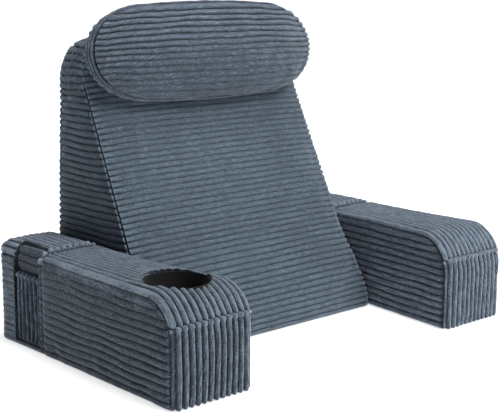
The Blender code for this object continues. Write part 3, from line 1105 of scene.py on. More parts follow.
@dataclass
class BlockCushion(Cushion):
    """The block behind an arm: a top, and one wall round its sides and back."""

    hand: Hand = Hand.RIGHT
    height: float = 0.1640
    seam_gap: float = 0.0003
    inner_x: float = WEDGE_FOOT_WIDTH / 2 + WALL_GAP
    outer_x: float = 0.3528
    edge: float = 0.018
    outer_corner: float = 0.020
    inner_corner: float = 0.006
    ribs_across: int = 11
    wall_ribs: int = 14
    groove: float = 0.001
    worn_wall: float = 0.38
    seed: int = 40

    def __post_init__(self) -> None:
        """Work out the plan under the ribs and the wall's path."""
        self.low_x = self.inner_x + RIB_HEIGHT
        self.high_x = self.outer_x - RIB_HEIGHT
        self.seam_depth = SEAM_DEPTHS[self.hand] - self.seam_gap
        self.length = self.seam_depth - RIB_HEIGHT - CROWN
        self.wall_height = self.height - RIB_HEIGHT - self.edge
        straights = (
            self.length - self.outer_corner,
            self.high_x - self.low_x - self.outer_corner - self.inner_corner,
            self.length - self.inner_corner,
        )
        arcs = (self.outer_corner * QUARTER, self.inner_corner * QUARTER)
        self.marks = np.cumsum([0.0, straights[0], arcs[0], straights[1], arcs[1], straights[2]])

    def plan(self, distance: Array) -> tuple[Array, Array]:
        """Return x and run along the wall: outer side, back, then inner side.

        Args:
            distance: Distances along the wall.

        Returns:
            Distances from the pillow's middle and back from the seam.
        """
        marks = self.marks
        out = np.clip(distance - marks[0], 0, marks[1])
        turn = np.clip((distance - marks[1]) / self.outer_corner, 0, QUARTER)
        back = np.clip(distance - marks[2], 0, marks[3] - marks[2])
        fold = np.clip((distance - marks[3]) / self.inner_corner, 0, QUARTER)
        home = np.clip(distance - marks[4], 0, None)
        x = self.high_x - self.outer_corner * (1 - np.cos(turn)) - back
        x = x - self.inner_corner * np.sin(fold)
        run = out + self.outer_corner * np.sin(turn)
        run = run - self.inner_corner * (1 - np.cos(fold)) - home
        return x, run

    def wall(self, part: Array, up: Array) -> Array:
        """Return the wall's points at parts along it and up it."""
        x, run = self.plan(self.marks[-1] * part)
        return place(self.hand.value * x, self.seam_depth - run, self.wall_height * up)

    def corners(self, x: Array) -> tuple[tuple[float, Array], ...]:
        """Return each back corner's radius, and how far x lies past its start.

        Args:
            x: Distances from the pillow's middle.

        Returns:
            A radius and distances for the outer and the inner corner.
        """
        return (
            (self.outer_corner, x - (self.high_x - self.outer_corner)),
            (self.inner_corner, self.low_x + self.inner_corner - x),
        )

    def rim_distance(self, x: Array, run: Array) -> Array:
        """Return how far a place of the plan lies inside the top's seam.

        Args:
            x: Distances from the pillow's middle.
            run: Distances back from the seam.

        Returns:
            Distances.
        """
        nearest = np.minimum(np.minimum(self.high_x - x, x - self.low_x), self.length - run)
        for radius, beyond in self.corners(x):
            past = run - (self.length - radius)
            round_corner = radius - np.hypot(np.clip(beyond, 0, None), np.clip(past, 0, None))
            nearest = np.where((beyond > 0) & (past > 0), round_corner, nearest)
        return np.clip(nearest, 0, None)

    def lid(self, along: Array, part: Array) -> Array:
        """Return the top's points at parts along the ribs and across them.

        Args:
            along: Parts along the ribs, 0 to 1.
            part: Parts across them, 0 to 1.

        Returns:
            Points.
        """
        x, _ = boxed(part, self.low_x, self.high_x, self.edge)
        flat = self.length - self.edge
        forward = (flat + QUARTER * self.edge) * along
        bend = np.clip((forward - flat) / self.edge, 0, QUARTER)
        run = np.minimum(forward, flat) + self.edge * np.sin(bend)
        end = np.full(x.shape, self.length)
        for radius, beyond in self.corners(x):
            beyond = np.clip(beyond, 0, radius)
            end = end - radius + np.sqrt(radius**2 - beyond**2)
        run = run * end / self.length
        inside = np.clip(self.rim_distance(x, run), 0, self.edge)
        rise = np.sqrt(np.maximum(0.0, self.edge**2 - (self.edge - inside) ** 2))
        return place(self.hand.value * x, self.seam_depth - run, self.wall_height + rise)

    def wall_relief(self, along: Array, across: Array) -> Array:
        """Return how high the wall's ribs stand: a little worn all over."""
        return Wear(self.seed + 9, 0.05, 0.10, 0.2).over(self.worn_wall, along, across)

    def panels(self) -> dict[str, Panel]:
        """Return the block's top and wall.

        Returns:
            Those panels by name.
        """
        ring = Tip(rounding=0.0055, pinch=0.0, reach=0.003, swell=0.60, dimple=0.95, pale=0.6)
        return {
            "top": Panel(
                self.lid,
                self.ribs_across,
                graded(self.length, 0.00025, 0.004),
                start=ring,
                groove=self.groove,
                painted_light=0.26,
                seed=self.seed,
                puff=0.003,
            ),
            "wall": Panel(
                self.wall,
                self.wall_ribs,
                graded(float(self.marks[-1]), 0.0007, 0.004),
                relief=self.wall_relief,
                painted_light=-0.12,
                seed=self.seed + 1,
                puff=0.002,
            ),
        }

    def sew(self, shell: SewnShell, panels: dict[str, Panel]) -> None:
        """Sew the top to the wall, and close the floor and the seam's face.

        Args:
            shell: The cover.
            panels: Its panels.
        """
        top, wall = panels["top"], panels["wall"]
        shell.sew(top.rim(Side.LOW, Side.END, Side.HIGH)[::-1], wall.edge(Side.HIGH))
        shell.close(wall.edge(Side.LOW))
        shell.close(top.edge(Side.START), wall.edge(Side.START)[::-1], wall.edge(Side.END))


@dataclass
class WedgeCushion(Cushion):
    """The wedge behind the back: one strip over its top, and two side panels."""

    side_top_width: float = 0.4575
    side_height: float = 0.4116
    foot: float = 0.2800
    top: float = 0.4815
    front_slope: float = 0.475
    back_slope: float = 0.02
    corner: float = 0.009
    corner_turn: float = math.radians(60)
    crown: float = 0.005
    belly: float = 0.014
    belly_height: float = 0.14
    belly_power: float = 0.66
    shoulder: float = 0.049
    front_pitch: float = 0.0099
    side_pitch: float = 0.0107
    floor_fade: float = 0.04
    worn_front: float = 0.62
    worn_side: float = 0.9
    crisp_seam: float = 0.012
    knot: float = 0.012
    outline_steps: int = 2400
    peak_gap: float = 0.0008
    seed: int = 50

    def __post_init__(self) -> None:
        """Work out the round top and the length of the outline over it."""
        front_length = math.hypot(1, self.front_slope)
        back_length = math.hypot(1, self.back_slope)
        slopes = self.front_slope + self.back_slope
        spans = (front_length + back_length) / slopes
        self.radius = (self.foot / slopes - self.top) / (spans - 1)
        self.centre_z = self.top - self.radius
        self.centre_depth = self.back_slope * self.centre_z + self.radius * back_length
        self.first_turn = math.atan(self.front_slope)
        self.span = math.pi - self.first_turn - math.atan(self.back_slope)
        self.straight = (
            self.centre_z + self.radius * self.front_slope / front_length
        ) * front_length
        back = (self.centre_z + self.radius * self.back_slope / back_length) * back_length
        self.start = RIB_HEIGHT * self.front_slope
        self.stop = self.straight + self.radius * self.span + back
        self.crest = self.straight + self.radius * (QUARTER - self.first_turn)
        self.caps = (self.side_height * front_length, self.stop - self.side_height * back_length)

    def outline(self, distance: Array) -> tuple[Array, Array, Array, Array]:
        """Return depth, height and outward normal along the wedge's outline.

        Args:
            distance: Distances along it from the front's foot.

        Returns:
            The depth, the height, and the normal's depth and height.
        """
        turn = self.first_turn + np.clip((distance - self.straight) / self.radius, 0, self.span)
        past = np.clip(distance - self.straight - self.radius * self.span, 0, None)
        excess = np.minimum(distance - self.straight, 0) + past
        normal_depth, normal_z = np.cos(turn), np.sin(turn)
        depth = self.centre_depth + self.radius * normal_depth - excess * normal_z
        z = self.centre_z + self.radius * normal_z + excess * normal_depth
        low = np.clip(z / self.belly_height, 0, 1) ** self.belly_power
        hang = np.where(distance < self.straight, self.belly * np.sin(math.pi * low), 0.0)
        return depth + hang, z, normal_depth, normal_z

    def half_width(self, z: Array) -> Array:
        """Return half the wedge's width over its ribs, below its shoulders."""
        part = np.clip(z / self.side_height, 0, 1)
        return (WEDGE_FOOT_WIDTH + (self.side_top_width - WEDGE_FOOT_WIDTH) * part) / 2

    def narrowing(self, distance: Array) -> Array:
        """Return how far the shoulders draw in at a distance along the outline.

        Args:
            distance: Distances along the outline.

        Returns:
            Distances.
        """
        front = (distance - self.caps[0]) / (self.crest - self.caps[0])
        back = (self.caps[1] - distance) / (self.caps[1] - self.crest)
        cap = np.clip(np.minimum(front, back), 0, 1)
        return self.shoulder * (1 - np.cos(cap * QUARTER))

    def swell(self, x: Array, z: Array) -> Array:
        """Return how far the wedge's front swells out at a place.

        Args:
            x: Distances from the middle.
            z: Heights.

        Returns:
            Distances.
        """
        across = np.clip(1 - (x / self.half_width(z)) ** 2, 0, None)
        up = np.clip(4 * (z / self.top) * (1 - z / self.top), 0, None)
        return self.crown * across * up

    def front_depth(self, x: Array, z: Array) -> Array:
        """Return the depth of the wedge's front over its ribs.

        Args:
            x: Distances from the middle.
            z: Heights.

        Returns:
            Depths.
        """
        rise = np.clip(z - self.centre_z, 0, self.radius)
        round_top = self.centre_depth + np.sqrt(self.radius**2 - rise**2)
        tangent = self.centre_z + self.radius * math.sin(self.first_turn)
        flat = self.foot - self.front_slope * z
        return np.where(z < tangent, flat, round_top) + self.swell(x, z)

    def strip(self, part: Array, over: Array) -> Array:
        """Return the strip's points at parts across it and over the wedge.

        Args:
            part: Parts across, 0 to 1.
            over: Parts over the wedge, 0 to 1.

        Returns:
            Points.
        """
        distance = self.start + (self.stop - self.start) * over
        depth, z, normal_depth, normal_z = self.outline(distance)
        half = self.half_width(z) - RIB_HEIGHT - self.narrowing(distance) - self.corner
        arc = self.corner * self.corner_turn
        along = (2 * half + 2 * arc) * part
        first = np.clip((arc - along) / self.corner, 0, self.corner_turn)
        last = np.clip((along - arc - 2 * half) / self.corner, 0, self.corner_turn)
        x = np.clip(along - arc - half, -half, half)
        x = x + self.corner * (np.sin(last) - np.sin(first))
        sink = self.corner * (2 - np.cos(first) - np.cos(last))
        fade = np.clip(1 - 2 * (distance - self.straight) / (self.radius * self.span), 0, 1)
        out = self.swell(x, z) * fade - RIB_HEIGHT
        level = normal_z * np.clip(z / self.floor_fade, 0, 1)
        size = np.hypot(normal_depth, level)
        depth = depth + out * normal_depth - sink * normal_depth / size
        return place(x, depth, z + out * normal_z - sink * level / size)

    def front_relief(self, along: Array, across: Array) -> Array:
        """Return how high the strip's ribs stand: softer up high, full at the seams.

        Args:
            along: Metres along the ribs.
            across: Metres across them.

        Returns:
            Shares of a full rib.
        """
        level = self.worn_front - 0.20 * smooth_step(across / (0.45 * self.straight))
        soft = Wear(self.seed + 9, 0.09, 0.07, 0.3).over(level, along, across)
        seam = np.minimum(along, np.max(along, axis=1, keepdims=True) - along)
        return soft + (1 - soft) * np.exp(-((seam / self.crisp_seam) ** 2))

    def side_relief(self, along: Array, across: Array) -> Array:
        """Return how high a side's ribs stand: in knots under the headrest.

        Args:
            along: Metres along the ribs.
            across: Metres across them.

        Returns:
            Shares of a full rib.
        """
        knots = np.clip(Ripple(self.seed + 8, self.knot).at(along, across), 0, None)
        high = smooth_step((across - 0.8 * self.side_height) / (0.2 * self.side_height))
        level = self.worn_side - 0.75 * high * knots
        return Wear(self.seed + 9, 0.05, 0.08, 0.1, most=1.1).over(level, along, across)

    def side_panel(self, hand: Hand) -> Surface:
        """Return a side panel's surface, front to back and up.

        Args:
            hand: Which side it is.

        Returns:
            The surface.
        """
        over = np.linspace(0, 1, self.outline_steps)
        seam = self.strip(np.full_like(over, 0.0 if hand is Hand.LEFT else 1.0), over)
        crest = int(np.argmax(seam[:, 2]))
        front, back = seam[: crest + 1], seam[crest:][::-1]
        height = float(seam[crest, 2]) - self.peak_gap
        start_sink = self.corner * (1 - math.cos(self.corner_turn))
        start_gap = self.corner * (1 - math.sin(self.corner_turn))

        def surface(part: Array, up: Array) -> Array:
            """Return the side panel's points at parts along it and up it.

            Args:
                part: Parts along it, 0 to 1.
                up: Parts up it, 0 to 1.

            Returns:
                Points.
            """
            z = height * up
            ends = [
                [np.interp(z, edge[:, 2], edge[:, axis]) for axis in (0, 1)]
                for edge in (front, back)
            ]
            (front_x, front_y), (back_x, back_y) = ends
            y = front_y + (back_y - front_y) * part
            near = np.minimum(y - front_y, back_y - y)
            sink = np.clip((start_sink + near) / self.corner, 0, 1)
            gap = self.corner * (1 - np.sqrt(np.maximum(0, 1 - (1 - sink) ** 2)))
            x = np.abs(front_x + (back_x - front_x) * part) + start_gap - gap
            return np.stack((hand.value * x, y, z), axis=-1)

        return surface

    def panels(self) -> dict[str, Panel]:
        """Return the wedge's strip and side panels.

        Returns:
            Those panels by name.
        """
        scallop = Tip(rounding=0.0010, pinch=0.0, reach=0.0, swell=0.50, pale=0.75)
        tucked = Tip(rounding=0.0010, pinch=0.0, reach=0.002, swell=0.50, pale=0.60)
        ribs = round((self.stop - self.start) / self.front_pitch)
        side_ribs = round(self.top / self.side_pitch)
        made = {
            "strip": Panel(
                self.strip,
                ribs,
                graded(WEDGE_FOOT_WIDTH, 0.0007, 0.008, 1.3),
                cuts=8,
                start=scallop,
                end=scallop,
                seed=self.seed,
                relief=self.front_relief,
                painted_light=-0.08,
                wander=0.02,
                sharpness=0.42,
            )
        }
        for hand in Hand:
            made[hand.name.lower()] = Panel(
                self.side_panel(hand),
                side_ribs,
                graded(self.foot, 0.0009, 0.009, 1.3),
                cuts=7,
                start=tucked,
                end=tucked,
                relief=self.side_relief,
                painted_light=-0.26,
                seed=self.seed + 2 + hand.value,
                wander=0.07,
                puff=0.003,
            )
        return made

    def sew(self, shell: SewnShell, panels: dict[str, Panel]) -> None:
        """Sew the strip to the sides and close the floor.

        Args:
            shell: The cover.
            panels: Its panels.
        """
        strip, left, right = panels["strip"], panels["left"], panels["right"]
        for panel, side in ((left, Side.START), (right, Side.END)):
            shell.sew(strip.edge(side), panel.rim(Side.END, Side.HIGH, Side.START)[::-1])
        shell.close(
            strip.edge(Side.LOW),
            right.edge(Side.LOW),
            strip.edge(Side.HIGH)[::-1],
            left.edge(Side.LOW)[::-1],
        )


@dataclass
class HeadCushion(Cushion):
    """The headrest: two crowned panels joined by a narrow band."""

    wedge: WedgeCushion | None = None
    half_length: float = 0.2345
    half_height: float = 0.0775
    end_length: float = 0.098
    end_power: float = 2.18
    arch: float = 0.18
    band: float = 0.0176
    band_ribs: int = 3
    front_crown: float = 0.027
    back_crown: float = 0.036
    tilt: float = math.radians(8.6)
    lean: float = -0.007
    end_shares: tuple[float, float] = (1.004, 0.972)
    depth: float = 0.1062
    centre_z: float = 0.4536
    ribs: int = 15
    gather: float = 0.0022
    gather_pitch: float = 0.015
    gather_reach: float = 0.018
    clearance: float = 0.0006
    worn_front: float = 0.34
    band_bulge: float = 0.0012
    band_steps: int = 361
    end_steps: int = 400
    flat_steps: int = 200
    seed: int = 70

    def half_at(self, up: Array) -> Array:
        """Return half the headrest's length at a part of its half height."""
        rounding = np.clip(1 - np.abs(up) ** self.end_power, 0, None) ** (1 / self.end_power)
        return self.half_length - self.end_length * (1 - rounding)

    def point(self, x: Array, up: Array, out: Array) -> Array:
        """Return world points for places on the headrest's own tilted plane.

        Args:
            x: Places along the headrest.
            up: Parts of its half height, -1 to 1.
            out: How far in front of its plane they lie.

        Returns:
            Points.
        """
        x = np.where(x < 0, x * self.end_shares[0], x * self.end_shares[1])
        arch = 1 - self.arch * (x / self.half_length) ** 2
        rise = up * self.half_height * arch + self.lean * x
        depth = self.depth + out * math.cos(self.tilt) - rise * math.sin(self.tilt)
        z = self.centre_z + rise * math.cos(self.tilt) + out * math.sin(self.tilt)
        return place(x, depth, z)

    def face(self, part: Array, over: Array, is_front: bool) -> Array:
        """Return the front or back panel's points at parts along and up it.

        Args:
            part: Parts along it, 0 to 1.
            over: Parts up it, 0 to 1.
            is_front: Whether it is the front panel.

        Returns:
            Points.
        """
        column, up = 2 * part - 1, 2 * over - 1
        half = self.half_at(up)
        full = np.clip((1 - np.abs(column) ** 4) * (1 - np.abs(up) ** 2.6), 0, None) ** 0.6
        gathers = np.sin(2 * math.pi * up * self.half_height / self.gather_pitch + 2.0 * up**2)
        near = np.exp(-half * (1 - np.abs(column)) / self.gather_reach)
        pucker = self.gather * gathers * near * np.clip(8 * (1 - np.abs(column)), 0, 1)
        if is_front:
            return self.point(column * half, up, self.band + self.front_crown * full + pucker)
        return self.point(column * half, up, -self.back_crown * full - pucker)

    def rim(self) -> tuple[Array, Array, Array]:
        """Return the panels' outline as x, part of the height and distance.

        Returns:
            Those three, all the way round.
        """
        ups = np.linspace(-1, 1, self.end_steps)
        ends = self.half_at(ups)
        flat = np.linspace(-1, 1, self.flat_steps) * self.half_at(np.array(1.0))
        level = np.ones(self.flat_steps)
        x = np.concatenate((ends, flat[::-1], -ends[::-1], flat))
        up = np.concatenate((ups, level, ups[::-1], -level))
        steps = np.hypot(np.diff(x), np.diff(up) * self.half_height)
        return x, up, np.concatenate(([0.0], np.cumsum(steps)))

    def band_surface(self, part: Array, over: Array) -> Array:
        """Return the band's points at parts round it and over its width.

        Args:
            part: Parts round, 0 to 1.
            over: Parts over its width, 0 to 1.

        Returns:
            Points.
        """
        x, up, distance = self.rim()
        at = part * distance[-1]
        bulge = self.band_bulge * np.sin(math.pi * over)
        grow_x, grow_up = 1 + bulge / self.half_length, 1 + bulge / self.half_height
        return self.point(
            np.interp(at, distance, x) * grow_x,
            np.interp(at, distance, up) * grow_up,
            self.band * over,
        )

    def clear_of_wedge(self, points: Array) -> Array:
        """Move points forward until they clear the wedge's front.

        Args:
            points: The points.

        Returns:
            The points after the move.
        """
        depth = BACK_Y - points[..., 1]
        limit = self.wedge.front_depth(points[..., 0], points[..., 2]) + self.clearance
        moved = points.copy()
        moved[..., 1] = BACK_Y - np.maximum(depth, limit)
        return moved

    def face_relief(self, along: Array, across: Array) -> Array:
        """Return how high the front's ribs stand: softer low down, in patches."""
        up = smooth_step((across / (2 * self.half_height) - 0.46) / 0.42)
        return Wear(self.seed + 5, 0.07, 0.08, 0.2).over(self.worn_front + 0.62 * up, along, across)

    def panels(self) -> dict[str, Panel]:
        """Return the headrest's front, back and band.

        Returns:
            Those panels by name.
        """
        length = 2 * self.half_length
        tip = Tip(rounding=0.003, pinch=0.0008, reach=0.003, swell=0.20, pale=0.20)
        return {
            "front": Panel(
                lambda u, v: self.face(u, v, True),
                self.ribs,
                graded(length, 0.0006, 0.006),
                cuts=12,
                start=tip,
                end=tip,
                relief=self.face_relief,
                painted_light=-0.20,
                seed=self.seed,
                wander=0.05,
            ),
            "back": Panel(
                lambda u, v: self.face(u, v, False),
                self.ribs,
                graded(length, 0.0008, 0.010),
                cuts=8,
                start=tip,
                end=tip,
                seed=self.seed + 1,
                trim=self.clear_of_wedge,
                puff=0.001,
            ),
            "band": Panel(
                self.band_surface,
                self.band_ribs,
                np.linspace(0, 1, self.band_steps),
                cuts=10,
                start=PLAIN,
                end=PLAIN,
                painted_light=-0.22,
                seed=self.seed + 2,
                trim=self.clear_of_wedge,
                puff=0.001,
            ),
        }

    def sew(self, shell: SewnShell, panels: dict[str, Panel]) -> None:
        """Sew both panels to the band all round, and the band's ends together.

        Args:
            shell: The cover.
            panels: Its panels.
        """
        band = panels["band"]
        for panel, side in ((panels["front"], Side.HIGH), (panels["back"], Side.LOW)):
            rim = panel.rim(Side.END, Side.HIGH, Side.START, Side.LOW)
            shell.sew(np.append(rim, rim[0]), np.append(band.edge(side), band.edge(side)[0]))
        shell.sew(band.edge(Side.START), band.edge(Side.END))


# Cup well and slot pocket


def subtract(target: bpy.types.Object, tool: bpy.types.Object) -> None:
    """Cut a tool out of a target and remove the tool.

    Args:
        target: The object to cut.
        tool: The object to take out of it.
    """
    cut = target.modifiers.new("cut", "BOOLEAN")
    cut.operation = "DIFFERENCE"
    cut.solver = "EXACT"
    cut.object = tool
    select_only(target)
    bpy.ops.object.modifier_apply(modifier=cut.name)
    bpy.data.objects.remove(tool, do_unlink=True)


def apply_place(piece: bpy.types.Object) -> None:
    """Move a piece's place, turn and scale into its mesh."""
    select_only(piece)
    bpy.ops.object.transform_apply(location=True, rotation=True, scale=True)


@dataclass
class CupWell:
    """The round well for a cup in the left arm, with its thin lining."""

    finish: "LiningCloth"
    x: float = -0.288
    depth_back: float = 0.3860
    radius: float = 0.0506
    deep: float = 0.075
    rim_z: float = 0.1585
    wall: float = 0.002
    gap: float = 0.0003
    steps: int = 96
    clear: float = 0.03
    soft_edge: float = 0.45
    level: float = 0.9
    floor_rings: tuple[float, ...] = (0.06, 0.175, 0.35)
    piece: bpy.types.Object | None = field(default=None, init=False)

    def add_cylinder(self, radius: float, bottom: float, top: float) -> bpy.types.Object:
        """Add a cylinder on the well's axis, alone selected.

        Args:
            radius: Its radius.
            bottom: How high its foot is.
            top: How high its top is.

        Returns:
            The cylinder.
        """
        bpy.ops.object.select_all(action="DESELECT")
        bpy.ops.mesh.primitive_cylinder_add(
            vertices=self.steps,
            radius=radius,
            depth=top - bottom,
            location=(self.x, BACK_Y - self.depth_back, (bottom + top) / 2),
        )
        return bpy.context.active_object

    def open_arm(self, arm: bpy.types.Object) -> None:
        """Cut the well out of the arm."""
        bottom = self.rim_z - self.deep
        subtract(arm, self.add_cylinder(self.radius, bottom, self.rim_z + self.clear))

    def make_lining(self) -> None:
        """Make the lining: an open cup of cloth with a soft rolled rim."""
        floor = self.rim_z - self.deep + self.gap
        height = self.rim_z - floor
        cup = self.add_cylinder(self.radius - self.gap, floor, self.rim_z)
        cup.name = cup.data.name = "cup_well_cloth"
        apply_place(cup)
        bpy.ops.object.mode_set(mode="EDIT")
        self.select_level(cup, 1.0)
        bpy.ops.mesh.delete(type="FACE")
        self.select_level(cup, -1.0)
        for share in self.floor_rings:
            bpy.ops.mesh.inset(thickness=self.radius * share, depth=0.0)
        bpy.ops.object.mode_set(mode="OBJECT")
        thick = cup.modifiers.new("cloth", "SOLIDIFY")
        thick.thickness = self.wall
        thick.offset = -1.0
        soft = cup.modifiers.new("soft", "BEVEL")
        soft.width = self.wall * self.soft_edge
        soft.segments = 3
        select_only(cup)
        bpy.ops.object.modifier_apply(modifier=thick.name)
        bpy.ops.object.modifier_apply(modifier=soft.name)
        bpy.ops.object.shade_smooth()
        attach(cup, BODY)
        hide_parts("cup_well_lining")
        around = 2 * math.pi * self.radius
        area = around * height + math.pi * self.radius**2
        flat = (around, height + 2 * self.radius)
        LOG.info("%s: %d faces", cup.name, len(cup.data.polygons))
        self.piece = cup

    def select_level(self, cup: bpy.types.Object, up: float) -> None:
        """Select the faces of a cup in edit mode that look straight up or down.

        Args:
            cup: The cup.
            up: 1 for the faces that look up, -1 for those that look down.
        """
        work = bmesh.from_edit_mesh(cup.data)
        work.select_mode = {"FACE"}
        for face in work.faces:
            face.select_set(face.normal.z * up > self.level)
        bmesh.update_edit_mesh(cup.data)

    def dress(self) -> None:
        """Put the lining's cloth on it."""
        dress(self.piece, self.finish)


@dataclass
class SlotPocket:
    """The slot pocket in the left block's outer side: a front and a lining."""

    finish: "Plush"
    # The lining's cloth: the slate plush darkened as painted shade.
    shaded: "Plush"
    back: float = 0.0605
    front: float = 0.1300
    bottom: float = 0.008
    floor_x: float = -0.3355
    lip_x: float = -0.3305
    bend_z: float = 0.140
    clear: float = 0.02
    outer_x: float = -0.3528
    block_height: float = 0.1640
    top: float = 0.1210
    cloth: float = 0.003
    gap: float = 0.0003
    ribs: int = 6
    inner_cloth: float = 0.003
    inner_rib: float = 0.0022
    plump: float = 0.006
    front_rib: float = 0.0036
    inner_top: float = 0.160
    inner_ribs: int = 14
    front_piece: bpy.types.Object | None = field(default=None, init=False)
    lining_piece: bpy.types.Object | None = field(default=None, init=False)

    def open_block(self, block: bpy.types.Object) -> None:
        """Cut the slot out of the block.

        Args:
            block: The left block's piece.
        """
        profile = (
            (self.floor_x, self.bottom),
            (self.floor_x, self.bend_z),
            (self.lip_x, self.block_height),
            (self.lip_x, self.block_height + self.clear),
            (self.outer_x - self.clear, self.block_height + self.clear),
            (self.outer_x - self.clear, self.bottom),
        )
        mesh = bpy.data.meshes.new("slot_tool")
        near = [(x, BACK_Y - self.back, z) for x, z in profile]
        mesh.from_pydata(near, [], [tuple(range(len(near)))])
        tool = linked("slot_tool", mesh)
        select_only(tool)
        bpy.ops.object.mode_set(mode="EDIT")
        bpy.ops.mesh.select_all(action="SELECT")
        move = (0.0, self.back - self.front, 0.0)
        bpy.ops.mesh.extrude_region_move(TRANSFORM_OT_translate={"value": move})
        bpy.ops.mesh.select_all(action="SELECT")
        bpy.ops.mesh.normals_make_consistent(inside=False)
        bpy.ops.object.mode_set(mode="OBJECT")
        subtract(block, tool)

    def depth_at(self, part: Array) -> Array:
        """Return the depth at a part across the pocket, back to front."""
        return self.back + self.gap + (self.front - self.back - 2 * self.gap) * part

    def make_front(self) -> None:
        """Make the pocket's front, with upright ribs and a turned top edge."""
        inside = self.outer_x + self.cloth + self.front_rib
        low = self.bottom + self.gap
        length = self.top - low

        def face(part: Array, across: Array, stand: float) -> Array:
            """Return a face that stands off the front's inner side."""
            return place(inside - stand, self.depth_at(across), low + length * part)

        hem = Tip(rounding=0.0035, pinch=0.0008, reach=0.003, swell=0.4, pale=0.5)
        foot = Tip(rounding=0.004, pinch=0.0015, reach=0.004)
        self.front_piece = self.make_sheet(
            "pocket_front",
            Panel(
                lambda u, v: face(u, v, self.cloth),
                self.ribs,
                graded(length, 0.0006, 0.005),
                start=foot,
                end=hem,
                sides=PLAIN,
                rib_height=self.front_rib,
                groove=0.0040,
                seed=91,
                sharpness=2.2,
                wander=0.10,
                painted_light=-0.24,
            ),
            self.inner_face(lambda u, v: face(u, v, 0.0), 4, length, 6, 92),
            "pocket_panel",
            (self.front - self.back, length),
        )

    def inner_face(
        self, surface: Surface, strips: int, length: float, cuts: int, seed: int
    ) -> Panel:
        """Return a sheet's plain inner face.

        Args:
            surface: Its surface.
            strips: How many strips it is made of.
            length: How long they are.
            cuts: How many places each strip has across it.
            seed: What its unevenness is drawn from.

        Returns:
            A panel with no ribs.
        """
        return Panel(
            surface,
            strips,
            graded(length, 0.002, 0.01),
            cuts=cuts,
            start=PLAIN,
            end=PLAIN,
            sides=PLAIN,
            rib_height=0.0,
            seed=seed,
            wander=0.0,
        )

    def make_lining(self) -> None:
        """Make the pocket's lining, with level ribs up to the block's top edge."""
        low = self.bottom + self.gap
        length = self.inner_top - low

        def face(part: Array, up: Array, stand: float) -> Array:
            """Return a face that stands off the slot's floor.

            Args:
                part: Parts along the slot, 0 to 1.
                up: Parts up it, 0 to 1.
                stand: How far the face stands off.

            Returns:
                Points.
            """
            z = low + length * up
            lean = np.clip((z - self.bend_z) / (self.block_height - self.bend_z), 0, None)
            plump = self.plump * smooth_step((z - self.top) / self.plump) if stand else 0.0
            x = self.floor_x + (self.lip_x - self.floor_x) * lean - self.gap - stand - plump
            return place(x, self.depth_at(part), z)

        width = self.front - self.back
        end = Tip(rounding=0.004, pinch=0.0, reach=0.0)
        self.lining_piece = self.make_sheet(
            "pocket_lining",
            Panel(
                lambda u, v: face(u, v, self.inner_cloth),
                self.inner_ribs,
                graded(width, 0.0007, 0.004),
                start=end,
                end=end,
                sides=PLAIN,
                seed=93,
                wander=0.08,
                rib_height=self.inner_rib,
            ),
            self.inner_face(lambda u, v: face(u, v, 0.0), 8, width, 4, 94),
            "pocket_inner_panel",
            (width, length),
        )

    def make_sheet(
        self,
        name: str,
        outer: Panel,
        inner: Panel,
        node: str,
        flat: tuple[float, float],
    ) -> bpy.types.Object:
        """Make a closed sheet of cloth from its two faces.

        Args:
            name: The piece's name.
            outer: Its ribbed face.
            inner: Its plain face.
            node: The solid that it stands for.
            flat: Its flat size; not used.

        Returns:
            The piece.
        """
        middle = middle_of(node)
        shell = SewnShell(name, middle)
        for panel, towards in ((outer, 1.0), (inner, -1.0)):
            shell.middle = middle + np.array((towards, 0.0, 0.0))
            shell.add(panel)
        way = (Side.LOW, Side.END, Side.HIGH, Side.START)
        shell.sew(outer.rim(*way), inner.rim(*way))
        piece = shell.make()
        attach(piece, BODY)
        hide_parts(node)
        LOG.info("%s: %d faces", name, len(piece.data.polygons))
        return piece

    def dress(self) -> None:
        """Put the front's and the lining's cloth on them."""
        dress(self.front_piece, self.finish)
        dress(self.lining_piece, self.shaded)


# Finishes


class Amount:
    """A number that changes over a surface, with ordinary arithmetic."""

    def __init__(self, bench: "Bench", socket: bpy.types.NodeSocket) -> None:
        """Wrap a socket on a material's bench."""
        self.bench = bench
        self.socket = socket

    def join(self, operation: str, *values: "Amount | float") -> "Amount":
        """Return a Math node's result for these values."""
        made = self.bench.node("ShaderNodeMath", {"operation": operation}, dict(enumerate(values)))
        return Amount(self.bench, made.outputs[0])

    def __add__(self, other: "Amount | float") -> "Amount":
        """Add."""
        return self.join("ADD", self, other)

    def __radd__(self, other: float) -> "Amount":
        """Add to a number."""
        return self.join("ADD", other, self)

    def __sub__(self, other: "Amount | float") -> "Amount":
        """Take away."""
        return self.join("SUBTRACT", self, other)

    def __rsub__(self, other: float) -> "Amount":
        """Take away from a number."""
        return self.join("SUBTRACT", other, self)

    def __mul__(self, other: "Amount | float") -> "Amount":
        """Multiply."""
        return self.join("MULTIPLY", self, other)

    def __rmul__(self, other: float) -> "Amount":
        """Multiply a number."""
        return self.join("MULTIPLY", other, self)

    def __pow__(self, other: float) -> "Amount":
        """Raise to a power."""
        return self.join("POWER", self, other)

    def held(self) -> "Amount":
        """Hold between 0 and 1."""
        return self.join("MINIMUM", self.join("MAXIMUM", self, 0.0), 1.0)


